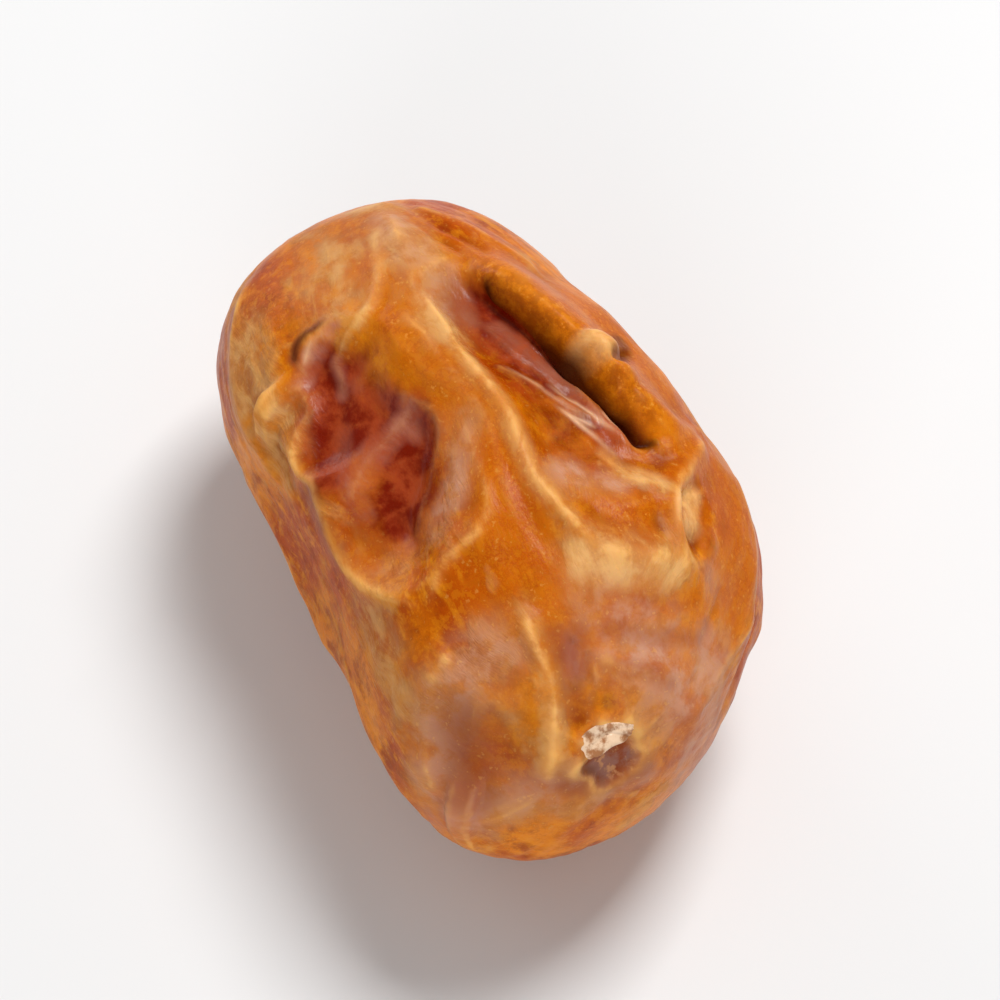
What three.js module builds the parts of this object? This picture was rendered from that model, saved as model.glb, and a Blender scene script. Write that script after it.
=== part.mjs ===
// A ripe sukkari date, picked, half dried and lying on its side.
// The fruit is one solid body: a blunt egg shape, broad at the stem end, whose thin skin has
// shrunk into long folds, sunken hollows with sharp crests round them, and a torn pit where
// the stalk came away. Everything that stands out or sinks in is one relief on the egg shape.
// Millimetres. X runs along the fruit with the stem end at +X, and +Z is up as the fruit lies.
import * as THREE from "three";
import { mergeVertices } from "three/addons/utils/BufferGeometryUtils.js";

// Driving dimensions of the egg shape
const LENGTH = 40;
const WIDTH = 25.2;
const HEIGHT = 24.4;
const LONG_ROUNDNESS = 2.35; // exponent of the outline along the fruit: 2 is an ellipse
const GIRTH_ROUNDNESS = 2.15; // exponent of the outline round the fruit
const BEND = 1.3; // both ends swing this far towards -Y
const BEND_CENTRE = 0.3; // share of BEND taken back so that the middle swings the other way
const STEM_SKEW = 1.6; // how far the stem end alone leans to -Y
const REST_DEPTH = 0.55; // how far the soft underside is pressed flat where it lies

// How full the fruit is at even stations from the tip to the stem end, against the plain egg
const FULLNESS = {
  right: [1, 0.94, 0.87, 0.86, 0.92, 1.01, 1.04, 0.98, 0.9], // the +Y side
  left: [1.06, 1.03, 0.96, 0.91, 0.91, 0.95, 1.02, 1.1, 1.12], // the -Y side
  top: [0.92, 0.92, 0.94, 0.98, 1, 1.04, 1.06, 1.04, 1],
  under: [0.94, 0.94, 0.95, 0.98, 1, 1.03, 1.05, 1.04, 1],
};

// Relief of the skin. A path is a list of [station along X in mm, angle round the fruit in
// degrees], where 0 is straight up and positive angles lean to +Y.
// Crests are raised edges between two facets of skin.
const CRESTS = [
  // upper face: the long ridge between the two sunken sides
  { path: [[-18.3, 18], [-14.2, 9], [-11, 3], [-8.3, 0]], reach: 2.6, rise: 0.5 },
  { path: [[-10.2, 3], [-8.5, 2], [-5.7, 2], [-3, 0], [0, -1], [3.8, 1], [6.3, 3], [8.6, 7],
      [10.4, 11]], reach: 1.6, rise: 0.85 },
  { path: [[-8.6, -7], [-4.6, -5], [-0.6, -6], [3.4, -6], [7.4, -7]], reach: 3.2, rise: 0.3 },
  // the curl of cream skin at the head of the left hollow, and the pale fold beside it
  { path: [[-14.6, 3], [-12.4, -3], [-11, -9], [-10, -13.5], [-9.5, -18.5], [-9.4, -25],
      [-9.1, -29], [-8.7, -33], [-7.6, -35], [-7, -39]], reach: 1.2, rise: 0.42 },
  { path: [[-10.3, -28], [-10.5, -34], [-10.2, -38], [-9.6, -43], [-8.6, -47]],
      reach: 1.2, rise: 0.28 },
  // the shoulder of the tip, towards -Y
  { path: [[-17.2, -51], [-14, -61], [-11.1, -68], [-8.2, -72], [-4.6, -75]],
      reach: 1.6, rise: 0.34 },
  { path: [[-9.5, -55], [-8.6, -62], [-8, -69]], reach: 1.6, rise: 0.22 },
  // the winding left rim of the hollow
  { path: [[-9.8, -44], [-8.4, -47], [-6.8, -48], [-5.6, -55], [-3.9, -58], [-2.6, -55.5],
      [-1.2, -57.5], [1.4, -60], [3.6, -57], [5.8, -49], [8, -40]], reach: 1.7, rise: 0.6 },
  // the right border of the hollow, and the edge of the pale facet beyond it
  { path: [[-6, -25], [-3.8, -20], [-1.8, -16.5], [-0.2, -20], [0.9, -28], [2.2, -34], [3, -40]],
      reach: 1.6, rise: 0.26 },
  { path: [[-1.2, -12], [1.5, -12], [4.7, -11], [6, -17], [6.2, -25], [7, -33], [7.8, -41]],
      reach: 2.2, rise: 0.34 },
  // inside the hollow
  { path: [[-3.2, -19], [-2.9, -23], [-2.9, -27], [-2.7, -33], [-2.4, -39], [-1.5, -45],
      [-0.3, -49], [0.8, -51]], reach: 1.5, rise: 0.14 },
  // upper face, towards +Y
  { path: [[-16.2, 26], [-13.7, 31], [-11, 36], [-8.6, 41]], reach: 1.6, rise: 0.22 },
  { path: [[-1.2, 23], [1, 25.5], [3, 28], [4.8, 32]], reach: 0.55, rise: 0.2 },
  { path: [[-0.2, 18], [1.2, 21], [2.3, 25]], reach: 0.5, rise: 0.18 },
  { path: [[-6.6, 14], [-4.2, 15], [-1.8, 17], [0, 21]], reach: 0.9, rise: 0.2 },
  { path: [[-3, 7], [-1.8, 11], [-0.6, 16]], reach: 0.9, rise: 0.14 },
  { path: [[4.8, 19], [6.3, 24], [7.2, 29], [8, 36]], reach: 1.7, rise: 0.36 },
  { path: [[5.6, 37], [4.8, 44], [4, 51], [3.4, 57]], reach: 1.8, rise: 0.3 },
  { path: [[4, 55], [5.6, 48], [7, 42], [8.4, 35.5], [9.8, 32], [11.4, 31.5], [13, 36]],
      reach: 1.3, rise: 0.6 },
  { path: [[8.8, 6], [10.2, 13], [11.2, 21], [11.6, 30]], reach: 2.2, rise: 0.36 },
  { path: [[5.4, 65], [8.4, 67], [11.4, 70], [14.8, 68]], reach: 2.4, rise: 0.25 },
  // lower face, round the shallow oval, and the facets beside the scar
  { path: [[10.4, -15], [12.2, -17], [14.1, -17], [16, -18], [17.8, -24], [18.9, -38]],
      reach: 2.2, rise: 0.6 },
  { path: [[10.8, -39], [11.4, -49], [13.5, -67], [16, -77]], reach: 2.8, rise: 0.35 },
  { path: [[12.6, 80], [14.9, 69], [16.8, 61], [18.5, 49]], reach: 2.8, rise: 0.4 },
  { path: [[14.7, 2], [15.9, 13], [16.8, 31], [16.4, 54]], reach: 2, rise: 0.25 },
  // the side that faces +Y
  { path: [[-15, 82], [-10, 90], [-5, 94], [0, 92], [5, 99], [10, 103], [14, 101]],
      reach: 3, rise: 0.65 },
  { path: [[-8, 114], [-3, 123], [2, 121], [7, 128], [12, 124]], reach: 2.6, rise: 0.55 },
  { path: [[-3, 95], [-1.6, 104], [0.4, 112], [2, 121]], reach: 1.8, rise: 0.35 },
  // the side that faces -Y
  { path: [[-14, -94], [-9, -102], [-4, -98], [1, -102], [6, -98], [11, -94], [15, -99]],
      reach: 3, rise: 0.6 },
  { path: [[-11, -128], [-6, -121], [0, -126], [5, -119], [10, -124]], reach: 2.6, rise: 0.5 },
  { path: [[3, -101], [4.2, -107], [4.6, -113], [6, -120]], reach: 1.8, rise: 0.35 },
];
// Creases are cut lines with sharp bottoms.
const CREASES = [
  { path: [[-8.4, 23], [-7.4, 24.4], [-6.2, 25.4], [-3.5, 27.7], [-0.6, 30], [2, 32], [4.2, 34.6],
      [5, 37]], reach: 0.8, rise: 1.6 },
  { path: [[-1.5, 43], [-0.5, 42], [0.1, 40], [0.2, 36]], reach: 0.6, rise: 0.5 },
  { path: [[-7.2, 16], [-4.6, 20], [-2, 23], [0, 25]], reach: 0.55, rise: 0.24 },
  { path: [[-5.8, 11.5], [-3.4, 15], [-1, 18.5], [0.8, 21.5]], reach: 0.5, rise: 0.2 },
  { path: [[-7.5, 19.5], [-5.2, 22.4], [-2.8, 25]], reach: 0.5, rise: 0.2 },
  { path: [[7.2, 47.5], [7.9, 42], [8.7, 37.5], [9.8, 35], [11, 36]], reach: 0.6, rise: 0.5 },
  { path: [[-13.2, 18], [-11.7, 21], [-9.8, 22]], reach: 0.7, rise: 0.25 },
  { path: [[-13.9, 23], [-12.1, 27], [-10, 29]], reach: 0.6, rise: 0.2 },
  { path: [[13.5, -3], [14.5, -7], [15.7, -7], [16.4, -9]], reach: 0.9, rise: 0.3 },
  { path: [[14.5, 0], [15.5, -3], [16.2, -3]], reach: 0.7, rise: 0.22 },
  { path: [[17.4, 43], [14.8, 49], [12.7, 55]], reach: 1, rise: 0.25 },
  { path: [[17.6, 95], [14, 88], [9, 84], [5, 80]], reach: 1.5, rise: 0.5 },
  { path: [[-14, 108], [-9, 106], [-4, 110]], reach: 1.3, rise: 0.5 },
  { path: [[-16, -112], [-11, -114], [-5, -111], [0, -113]], reach: 1.4, rise: 0.5 },
];
// Hollows are dips with a floor, and those that overlap make one basin.
const HOLLOWS = [
  // the large wet hollow of the upper face
  { path: [[-7, -36], [-5, -35], [-2.4, -32], [0.2, -33], [2, -38]], reach: 4.7, rise: 1.85 },
  { path: [[-6.8, -42], [-5.4, -45], [-4.2, -47]], reach: 2.2, rise: 1.25 },
  { path: [[-5.4, -28], [-4.4, -31]], reach: 2.2, rise: 1.25 },
  { path: [[-1.6, -23.5], [-0.9, -28.5], [0.1, -33.5]], reach: 1.8, rise: 1.4 },
  { path: [[0, -32], [1, -37.5], [1.9, -41]], reach: 2.1, rise: 1.4 },
  { path: [[-8.2, -25], [-7.6, -21]], reach: 1.4, rise: 0.4 },
  { path: [[-9.5, -36], [-8.9, -43]], reach: 1.3, rise: 0.7 },
  { path: [[-11.3, -33], [-11.4, -39]], reach: 1.3, rise: 0.25 },
  // the pale facet that slopes into it
  { path: [[0.6, -16], [2.8, -19], [4, -26]], reach: 2.4, rise: 0.45 },
  // the floor of the groove
  { path: [[-7.6, 13], [-4.3, 14], [-0.7, 16], [2.5, 19], [5.4, 25]], reach: 3.7, rise: 1.25 },
  { path: [[-6.5, 21], [-3.2, 23.5], [-0.3, 26], [2.2, 29]], reach: 2, rise: 0.85 },
  { path: [[7.8, 14], [8.9, 19], [9.6, 26]], reach: 2.2, rise: 0.4 },
  { path: [[-15.3, -25], [-12.7, -28]], reach: 3.6, rise: 0.3 },
  { path: [[-7.2, -67], [-5.8, -67]], reach: 2.2, rise: 0.25 },
  { path: [[8.8, 43], [10.4, 41.5]], reach: 1.9, rise: 0.85 },
  { path: [[8.4, 51], [10.8, 50], [13.3, 55]], reach: 3.2, rise: 0.45 },
  { path: [[13.7, -59], [15.7, -57], [16.6, -47]], reach: 3.4, rise: 0.65 },
  { path: [[13.7, 17], [15.3, 39], [15.7, 53]], reach: 4.2, rise: 0.5 },
  { path: [[13.7, -3], [15.5, -7], [16.8, -7]], reach: 2.6, rise: 0.35 },
  // the side that faces +Y
  { path: [[-9, 79], [-2, 81], [3, 83]], reach: 3, rise: 0.5 },
  { path: [[-6, 107], [-2, 110]], reach: 3.8, rise: 0.8 },
  { path: [[5, 112], [9, 116]], reach: 4, rise: 0.8 },
  // the side that faces -Y
  { path: [[-10, -114], [-4, -114]], reach: 4, rise: 0.75 },
  { path: [[6, -110], [11, -110]], reach: 4.2, rise: 0.85 },
  { path: [[-4, -84], [2, -83]], reach: 3.2, rise: 0.35 },
];
// Rolls are rounded swellings. The long one hangs over the deepest crease by ROLL_LEAN.
const LONG_ROLL = { path: [[-12.1, 21], [-10, 24], [-8.2, 27.6], [-5.8, 30.6], [-3.6, 33.2], [-1.5, 35.8],
      [1, 38.8], [3.4, 42], [5.4, 46]], reach: 2, rise: 1.35 };
const ROLLS = [
  LONG_ROLL,
  { path: [[-8.6, 43], [-4.6, 48], [-0.6, 53], [3.4, 57]], reach: 4.5, rise: 0.8 },
  { path: [[-9.2, -59], [-7.4, -56]], reach: 2.7, rise: 0.7 },
  { path: [[-9.6, -7], [-4.6, -9]], reach: 3, rise: 0.25 },
  { path: [[16.4, -84], [18, -80]], reach: 4.5, rise: 0.5 },
];
// Beads are small round lumps that stand on the other folds.
const BEADS = [
  { path: [[-1.1, 35], [-0.7, 36]], reach: 1.3, rise: 0.72 },
  { path: [[0.8, 36.5], [1.2, 37.5]], reach: 1.1, rise: 0.45 },
  { path: [[2.8, 40], [3.6, 42]], reach: 1.4, rise: 0.3 },
  { path: [[8.3, 43], [9.4, 41]], reach: 1.1, rise: 0.22 },
  { path: [[10.4, 46], [10.8, 47]], reach: 0.9, rise: 0.15 },
];
const ROLL_LEAN = 1.8;
const TAPER = 0.16; // share of a crest or crease over which each end fades
const ROLL_TAPER = 0.34; // the same for a roll
const EDGE_POWER = 1.7; // how sharp a crest or crease is
const FLOOR_POWER = 1.4; // how soft the border of a hollow, roll or bead is
const MERGE = 3; // how strongly the highest of several folds wins where they meet
const PATH_STEPS = 5;
const FINEST_REACH = 1.1; // narrower folds are widened to this, which the mesh can show

// The torn pit where the stalk came away, its ragged lip and the puckers round it
const STEM_AT = [18.9, 2];
const PIT = { reach: 1.9, depth: 0.4, wall: 0.8, waves: 2.2, ragged: 0.18 };
const LIP = { reach: 0.55, rise: 0.3, gap: 0.15, even: 0.75, ragged: 0.5 };
// The lip is full above the pit and fades to this share below it
const LOW_LIP = { share: 0.3, start: -0.5, over: 0.8 };
// Puckers run out from the pit, strongest at a share of their reach; pitch is their length
const PUCKERS = { reach: 5.5, rise: 0.16, waves: 2.6, at: 0.6, over: 0.3, pitch: 3 };
// The dry point at the tip
const TIP_REACH = 1.5;
const TIP_RISE = 0.5;

// Buckling of the skin between the folds. Its patterns lie on the skin unrolled to these sizes,
// gathered towards the stem pit.
const UNROLLED_LENGTH = 17.0;
const UNROLLED_GIRTH = 12.0;
const AXIS_POWER = 4;
const SWELL = { length: 11.0, width: 5.0, rise: 0.4 };
const CELL = { length: 10.0, width: 5.0, rise: 0.55, level: 0.3, crest: 0.75 };
const FOLD = { length: 6.0, width: 2.4, rise: 0.1 };
const SMOOTHEST_SIDE = new THREE.Vector3(0.42, -0.21, 0.88);
const CALM = 0.85; // share of the buckling that is left out on the smoothest side
const CALM_START = -0.5; // how far the skin faces that side where the calm starts
const CALM_OVER = 0.5; // how much further it faces there where the calm is full
const END_FADE = { gain: 1.9, start: 0.35 }; // the buckling fades towards both ends
const WANDER = 1.1; // how far the folds wander from smooth lines
const WANDER_SCALE = 5.5;

// The pressed underside: how downward the skin faces where its relief starts to fade, over how
// much more it fades, and the share that goes
const UNDERSIDE = { start: 0.75, over: 0.2, share: 0.8 };

// Starting numbers of the random patterns
const SEEDS = { wander: [11, 23, 37], rim: 41, pucker: 43, swell: 3, cell: 5, fold: 9 };
const EDGE_SPLITS = 23; // edges of the starting icosahedron are cut into one more than this

const lerp = (a, b, t) => a + (b - a) * t;
const clamp01 = (t) => Math.min(1, Math.max(0, t));

function smooth(t) {
  const s = clamp01(t);
  return s * s * (3 - 2 * s);
}

// A repeatable number from 0 to 1 for each whole-number place in space
function chance(i, j, k, seed) {
  let h = Math.imul(i, 374761393) ^ Math.imul(j, 668265263);
  h ^= Math.imul(k, 1274126177) ^ Math.imul(seed, 40503);
  h = Math.imul(h ^ (h >>> 13), 1103515245);
  h = Math.imul(h ^ (h >>> 15), 668265263);
  return ((h ^ (h >>> 16)) >>> 0) / 4294967296;
}

// Smooth noise from -1 to 1
function noise([x, y, z], seed) {
  const [i, j, k] = [Math.floor(x), Math.floor(y), Math.floor(z)];
  const [u, v, w] = [smooth(x - i), smooth(y - j), smooth(z - k)];
  const corner = (a, b, c) => chance(i + a, j + b, k + c, seed);
  const edge = (b, c) => lerp(corner(0, b, c), corner(1, b, c), u);
  const face = (c) => lerp(edge(0, c), edge(1, c), v);
  return 2 * lerp(face(0), face(1), w) - 1;
}

// Smooth noise with half as strong noise of twice the pitch on it
function stacked(place, seed) {
  return noise(place, seed) + noise(place.map((value) => 2 * value), seed + 1) / 2;
}

// Buckled cells: 0 in the middle of a cell, rising to 1 along the crest between two cells
function buckle([x, y, z], seed) {
  const [i, j, k] = [Math.floor(x), Math.floor(y), Math.floor(z)];
  let nearest = Infinity;
  let second = Infinity;
  for (let a = -1; a <= 1; a++)
    for (let b = -1; b <= 1; b++)
      for (let c = -1; c <= 1; c++) {
        const [p, q, r] = [i + a, j + b, k + c];
        const dx = p + chance(p, q, r, seed) - x;
        const dy = q + chance(p, q, r, seed + 1) - y;
        const dz = r + chance(p, q, r, seed + 2) - z;
        const far = Math.hypot(dx, dy, dz);
        if (far < nearest) [nearest, second] = [far, nearest];
        else if (far < second) second = far;
      }
  return 1 - clamp01((second - nearest) / CELL.crest);
}

// Fullness at x between its stations
function fullness(list, x) {
  const last = list.length - 1;
  const t = clamp01(x / LENGTH + 0.5) * last;
  const i = Math.min(Math.floor(t), last - 1);
  const f = t - i;
  const at = (n) => list[Math.min(last, Math.max(0, n))];
  const [p0, p1, p2, p3] = [at(i - 1), at(i), at(i + 1), at(i + 2)];
  const [a, b] = [(p2 - p0) / 2, (p3 - p1) / 2];
  return (2 * p1 - 2 * p2 + a + b) * f ** 3 + (3 * p2 - 3 * p1 - 2 * a - b) * f ** 2 + a * f + p1;
}

// How far the fruit's bend and skew move a station sideways
function swing(x) {
  const t = (2 * x) / LENGTH;
  return -BEND * (t ** 2 - BEND_CENTRE) - STEM_SKEW * Math.max(t, 0) ** 3;
}

// Width and height of the fruit at a station, on the sides that y and z point to
function girthAt(x, y, z) {
  const wide = fullness(y > 0 ? FULLNESS.right : FULLNESS.left, x);
  const high = fullness(z > 0 ? FULLNESS.top : FULLNESS.under, x);
  return [WIDTH * wide, HEIGHT * high];
}

// Length of (a, b) by a power: 2 is the plain one, and a higher power makes the outline blunter
const blunt = (a, b, power) => (Math.abs(a) ** power + Math.abs(b) ** power) ** (1 / power);

// The egg's surface in a direction from its middle
function eggPoint(direction) {
  const [x, y, z] = direction.toArray();
  const scale = 0.5 / blunt(x, blunt(y, z, GIRTH_ROUNDNESS), LONG_ROUNDNESS);
  const along = x * scale * LENGTH;
  const [width, height] = girthAt(along, y, z);
  return new THREE.Vector3(along, y * scale * width + swing(along), z * scale * height);
}

// The egg's surface at a station and an angle round the fruit
function eggAt(x, degrees) {
  const turn = THREE.MathUtils.degToRad(degrees);
  const [s, c] = [Math.sin(turn), Math.cos(turn)];
  const girth = (1 - Math.abs((2 * x) / LENGTH) ** LONG_ROUNDNESS) ** (1 / LONG_ROUNDNESS) / 2;
  const [width, height] = girthAt(x, s, c);
  const reach = girth / blunt(s / width, c / height, GIRTH_ROUNDNESS);
  return new THREE.Vector3(x, reach * s + swing(x), reach * c);
}

// Distance from a point to a line of corners, and how far along its nearest place is, 0 to 1
function alongLine(point, corners) {
  let best = Infinity;
  let share = 0;
  const line = new THREE.Line3();
  const foot = new THREE.Vector3();
  for (let i = 0; i + 1 < corners.length; i++) {
    line.set(corners[i], corners[i + 1]);
    const t = line.closestPointToPointParameter(point, true);
    const far = line.at(t, foot).distanceTo(point);
    if (far < best) [best, share] = [far, (i + t) / (corners.length - 1)];
  }
  return [best, share];
}

// Lays a fold's path on the egg as a smooth line, with a box round all that it reaches
function laid({ path, reach, rise }) {
  const curve = new THREE.SplineCurve(path.map(([x, degrees]) => new THREE.Vector2(x, degrees)));
  const corners = curve.getPoints(PATH_STEPS * (path.length - 1)).map(({ x, y }) => eggAt(x, y));
  const wide = Math.max(reach, FINEST_REACH);
  const box = new THREE.Box3().setFromPoints(corners).expandByScalar(wide);
  return { corners, box, reach: wide, rise };
}

// Profiles across a fold, from 1 on its path to 0 at its reach
const edge = (t) => (1 - t) ** EDGE_POWER;
const dome = (t) => (1 - t ** 2) ** FLOOR_POWER;

// A fold's profile at a point, fading over a share of its length at each end where it tapers
function stroke(point, { corners, box, reach }, profile, taper) {
  if (!box.containsPoint(point)) return 0;
  const [far, share] = alongLine(point, corners);
  const ends = taper ? smooth(share / taper) * smooth((1 - share) / taper) : 1;
  return ends * profile(clamp01(far / reach));
}

// The height of several folds of one kind, which run into each other where they meet
function merged(point, folds, profile, taper = 0) {
  const heights = folds.map((fold) => fold.rise * stroke(point, fold, profile, taper));
  return heights.reduce((sum, height) => sum + height ** MERGE, 0) ** (1 / MERGE);
}

const crests = CRESTS.map(laid);
const creases = CREASES.map(laid);
const hollows = HOLLOWS.map(laid);
const rolls = ROLLS.map(laid);
const beads = BEADS.map(laid);
const longRoll = laid(LONG_ROLL);
const pitCentre = eggAt(...STEM_AT);
const tip = eggPoint(new THREE.Vector3(-1, 0, 0));

// Height of the relief round the stem pit
function stemRelief(point) {
  const offset = point.clone().sub(pitCentre);
  const far = offset.length();
  const turn = Math.atan2(offset.y, offset.z);
  const [up, side] = [Math.cos(turn), Math.sin(turn)];
  const ragged = noise([PIT.waves * up, PIT.waves * side, 0], SEEDS.rim);
  const rim = PIT.reach * (1 + PIT.ragged * ragged);
  const pit = smooth((rim - far) / PIT.wall);
  const upper = lerp(LOW_LIP.share, 1, smooth((up - LOW_LIP.start) / LOW_LIP.over));
  const lip = upper * Math.exp(-(((far - rim - LIP.gap) / LIP.reach) ** 2));
  const band = Math.exp(-(((far / PUCKERS.reach - PUCKERS.at) / PUCKERS.over) ** 2));
  const waves = [PUCKERS.waves * up, PUCKERS.waves * side, far / PUCKERS.pitch];
  const pucker = band * stacked(waves, SEEDS.pucker);
  return LIP.rise * lip * (LIP.even + LIP.ragged * ragged) - PIT.depth * pit + PUCKERS.rise * pucker;
}

// Height of the buckled skin between the folds
function buckling(point, outward, wander) {
  const axis = clamp01(point.x / pitCentre.x) ** AXIS_POWER;
  const [x, y, z] = [
    (2 * point.x) / LENGTH,
    (2 * (point.y - axis * pitCentre.y)) / WIDTH,
    (2 * (point.z - axis * pitCentre.z)) / HEIGHT,
  ];
  const girth = Math.hypot(y, z);
  const lean = Math.atan2(x, girth);
  const unrolled = [
    UNROLLED_LENGTH * lean + WANDER * wander[0],
    (UNROLLED_GIRTH * y) / girth + WANDER * wander[1],
    (UNROLLED_GIRTH * z) / girth + WANDER * wander[2],
  ];
  const placed = ({ length, width }) => [unrolled[0] / length, unrolled[1] / width, unrolled[2] / width];
  const swells = SWELL.rise * stacked(placed(SWELL), SEEDS.swell);
  const cells = CELL.rise * (buckle(placed(CELL), SEEDS.cell) ** 2 - CELL.level);
  const folds = FOLD.rise * (1 - 2 * Math.abs(noise(placed(FOLD), SEEDS.fold)));
  const calm = 1 - CALM * smooth((outward.dot(SMOOTHEST_SIDE) - CALM_START) / CALM_OVER);
  return (swells + cells + folds) * smooth(END_FADE.gain * Math.cos(lean) - END_FADE.start) * calm;
}

// Height of the whole relief at a point of the egg
function relief(point, outward) {
  const scaled = point.toArray().map((value) => value / WANDER_SCALE);
  const wander = SEEDS.wander.map((seed) => noise(scaled, seed));
  const place = new THREE.Vector3(...wander).multiplyScalar(WANDER / 2).add(point);
  const sunken = merged(place, creases, edge, TAPER) + merged(place, hollows, dome);
  const swollen = merged(place, rolls, dome, ROLL_TAPER) + merged(place, beads, dome);
  const folds = merged(place, crests, edge, TAPER) + swollen - sunken;
  const dryPoint = TIP_RISE * Math.exp(-((point.distanceTo(tip) / TIP_REACH) ** 2));
  return folds + stemRelief(point) + dryPoint + buckling(point, outward, wander);
}

// One smooth closed skin of the egg, then moved out and in along its normals by the relief
function fruitSkin() {
  const ball = new THREE.IcosahedronGeometry(1, EDGE_SPLITS);
  ball.deleteAttribute("normal");
  ball.deleteAttribute("uv");
  const skin = mergeVertices(ball);
  const places = skin.attributes.position;
  const point = new THREE.Vector3();
  for (let i = 0; i < places.count; i++) {
    const { x, y, z } = eggPoint(point.fromBufferAttribute(places, i));
    places.setXYZ(i, x, y, z);
  }
  skin.computeVertexNormals();
  const outward = new THREE.Vector3();
  for (let i = 0; i < places.count; i++) {
    point.fromBufferAttribute(places, i);
    outward.fromBufferAttribute(skin.attributes.normal, i);
    const under = smooth((-outward.z - UNDERSIDE.start) / UNDERSIDE.over);
    const height = relief(point, outward) * (1 - UNDERSIDE.share * under);
    const lean = ROLL_LEAN * stroke(point, longRoll, dome, ROLL_TAPER);
    point.addScaledVector(outward, height);
    point.y -= lean * Math.abs(outward.z);
    point.z += lean * outward.y;
    places.setXYZ(i, point.x, point.y, point.z);
  }
  return skin;
}

// Presses the underside flat and puts the origin under the middle of the fruit
function settle(skin) {
  const places = skin.attributes.position;
  skin.computeBoundingBox();
  const floor = skin.boundingBox.min.z + REST_DEPTH;
  for (let i = 0; i < places.count; i++) places.setZ(i, Math.max(places.getZ(i), floor));
  skin.computeBoundingBox();
  const middle = skin.boundingBox.getCenter(new THREE.Vector3());
  return skin.translate(-middle.x, -middle.y, -floor);
}

const fruitMaterial = new THREE.MeshStandardMaterial({ color: 0xb8651b, roughness: 0.38, metalness: 0 });
const skin = settle(fruitSkin());
skin.deleteAttribute("normal");
const fruit = new THREE.Mesh(skin, fruitMaterial);
fruit.name = "date";

const group = new THREE.Group();
group.add(fruit);
export default group;
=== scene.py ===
"""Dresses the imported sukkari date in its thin, folded skin and sets it on a plain studio stage.

The skin is an egg shape moved in and out by a relief of crests, creases, hollows and rolls, and coloured by
masks on the same paths. Each path is a list of (station along X in millimetres, angle round the fruit in
degrees), where 0 degrees is straight up and positive angles lean to +Y. A flake of the torn stalk lies over
the pit at the stem end.
"""
import math

import bpy
import numpy as np
from bpy.props import FloatProperty, FloatVectorProperty, PointerProperty
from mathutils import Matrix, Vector
from mathutils.bvhtree import BVHTree


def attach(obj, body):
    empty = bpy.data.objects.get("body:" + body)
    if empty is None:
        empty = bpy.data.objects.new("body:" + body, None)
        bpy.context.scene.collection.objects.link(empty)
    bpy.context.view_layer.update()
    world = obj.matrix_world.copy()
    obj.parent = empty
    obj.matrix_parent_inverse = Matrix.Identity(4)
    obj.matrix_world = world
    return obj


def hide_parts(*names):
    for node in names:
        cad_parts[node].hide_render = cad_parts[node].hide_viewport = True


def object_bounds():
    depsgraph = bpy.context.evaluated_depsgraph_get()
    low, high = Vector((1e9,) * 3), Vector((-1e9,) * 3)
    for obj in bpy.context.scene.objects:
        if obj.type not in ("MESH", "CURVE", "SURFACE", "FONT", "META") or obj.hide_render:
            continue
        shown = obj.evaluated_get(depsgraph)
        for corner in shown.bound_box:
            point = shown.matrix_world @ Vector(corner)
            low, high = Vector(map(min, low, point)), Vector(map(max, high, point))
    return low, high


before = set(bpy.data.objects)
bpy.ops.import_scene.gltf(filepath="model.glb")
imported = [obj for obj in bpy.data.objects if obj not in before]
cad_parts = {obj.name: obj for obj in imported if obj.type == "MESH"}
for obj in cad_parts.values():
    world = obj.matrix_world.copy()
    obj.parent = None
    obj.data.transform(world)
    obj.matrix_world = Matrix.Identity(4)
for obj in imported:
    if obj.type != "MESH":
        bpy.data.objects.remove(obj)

bl_info = {
    "name": "Sukkari date",
    "version": (1, 0, 0),
    "blender": (4, 5, 0),
    "location": "3D View > Sidebar > Date",
    "description": "Builds a ripe, wrinkled date around its packed solid, with a studio stage",
    "category": "Add Mesh",
}

CAD_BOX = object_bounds()
MM = 0.001
NODE = "date"

# How full the fruit is at even stations from the tip to the stem end, against the plain egg
FULLNESS = {
    "right": (1.0, 0.94, 0.87, 0.86, 0.92, 1.01, 1.04, 0.98, 0.9),
    "left": (1.06, 1.03, 0.96, 0.91, 0.91, 0.95, 1.02, 1.1, 1.12),
    "top": (0.92, 0.92, 0.94, 0.98, 1.0, 1.04, 1.06, 1.04, 1.0),
    "under": (0.94, 0.94, 0.95, 0.98, 1.0, 1.03, 1.05, 1.04, 1.0),
}
LONG_ROUNDNESS = 2.35  # 2 is a plain oval, and more is fuller at the corners
GIRTH_ROUNDNESS = 2.15
BEND_CENTRE = 0.3
STEM_SKEW = 1.6  # how far the stem end alone leans to -Y, mm

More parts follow.
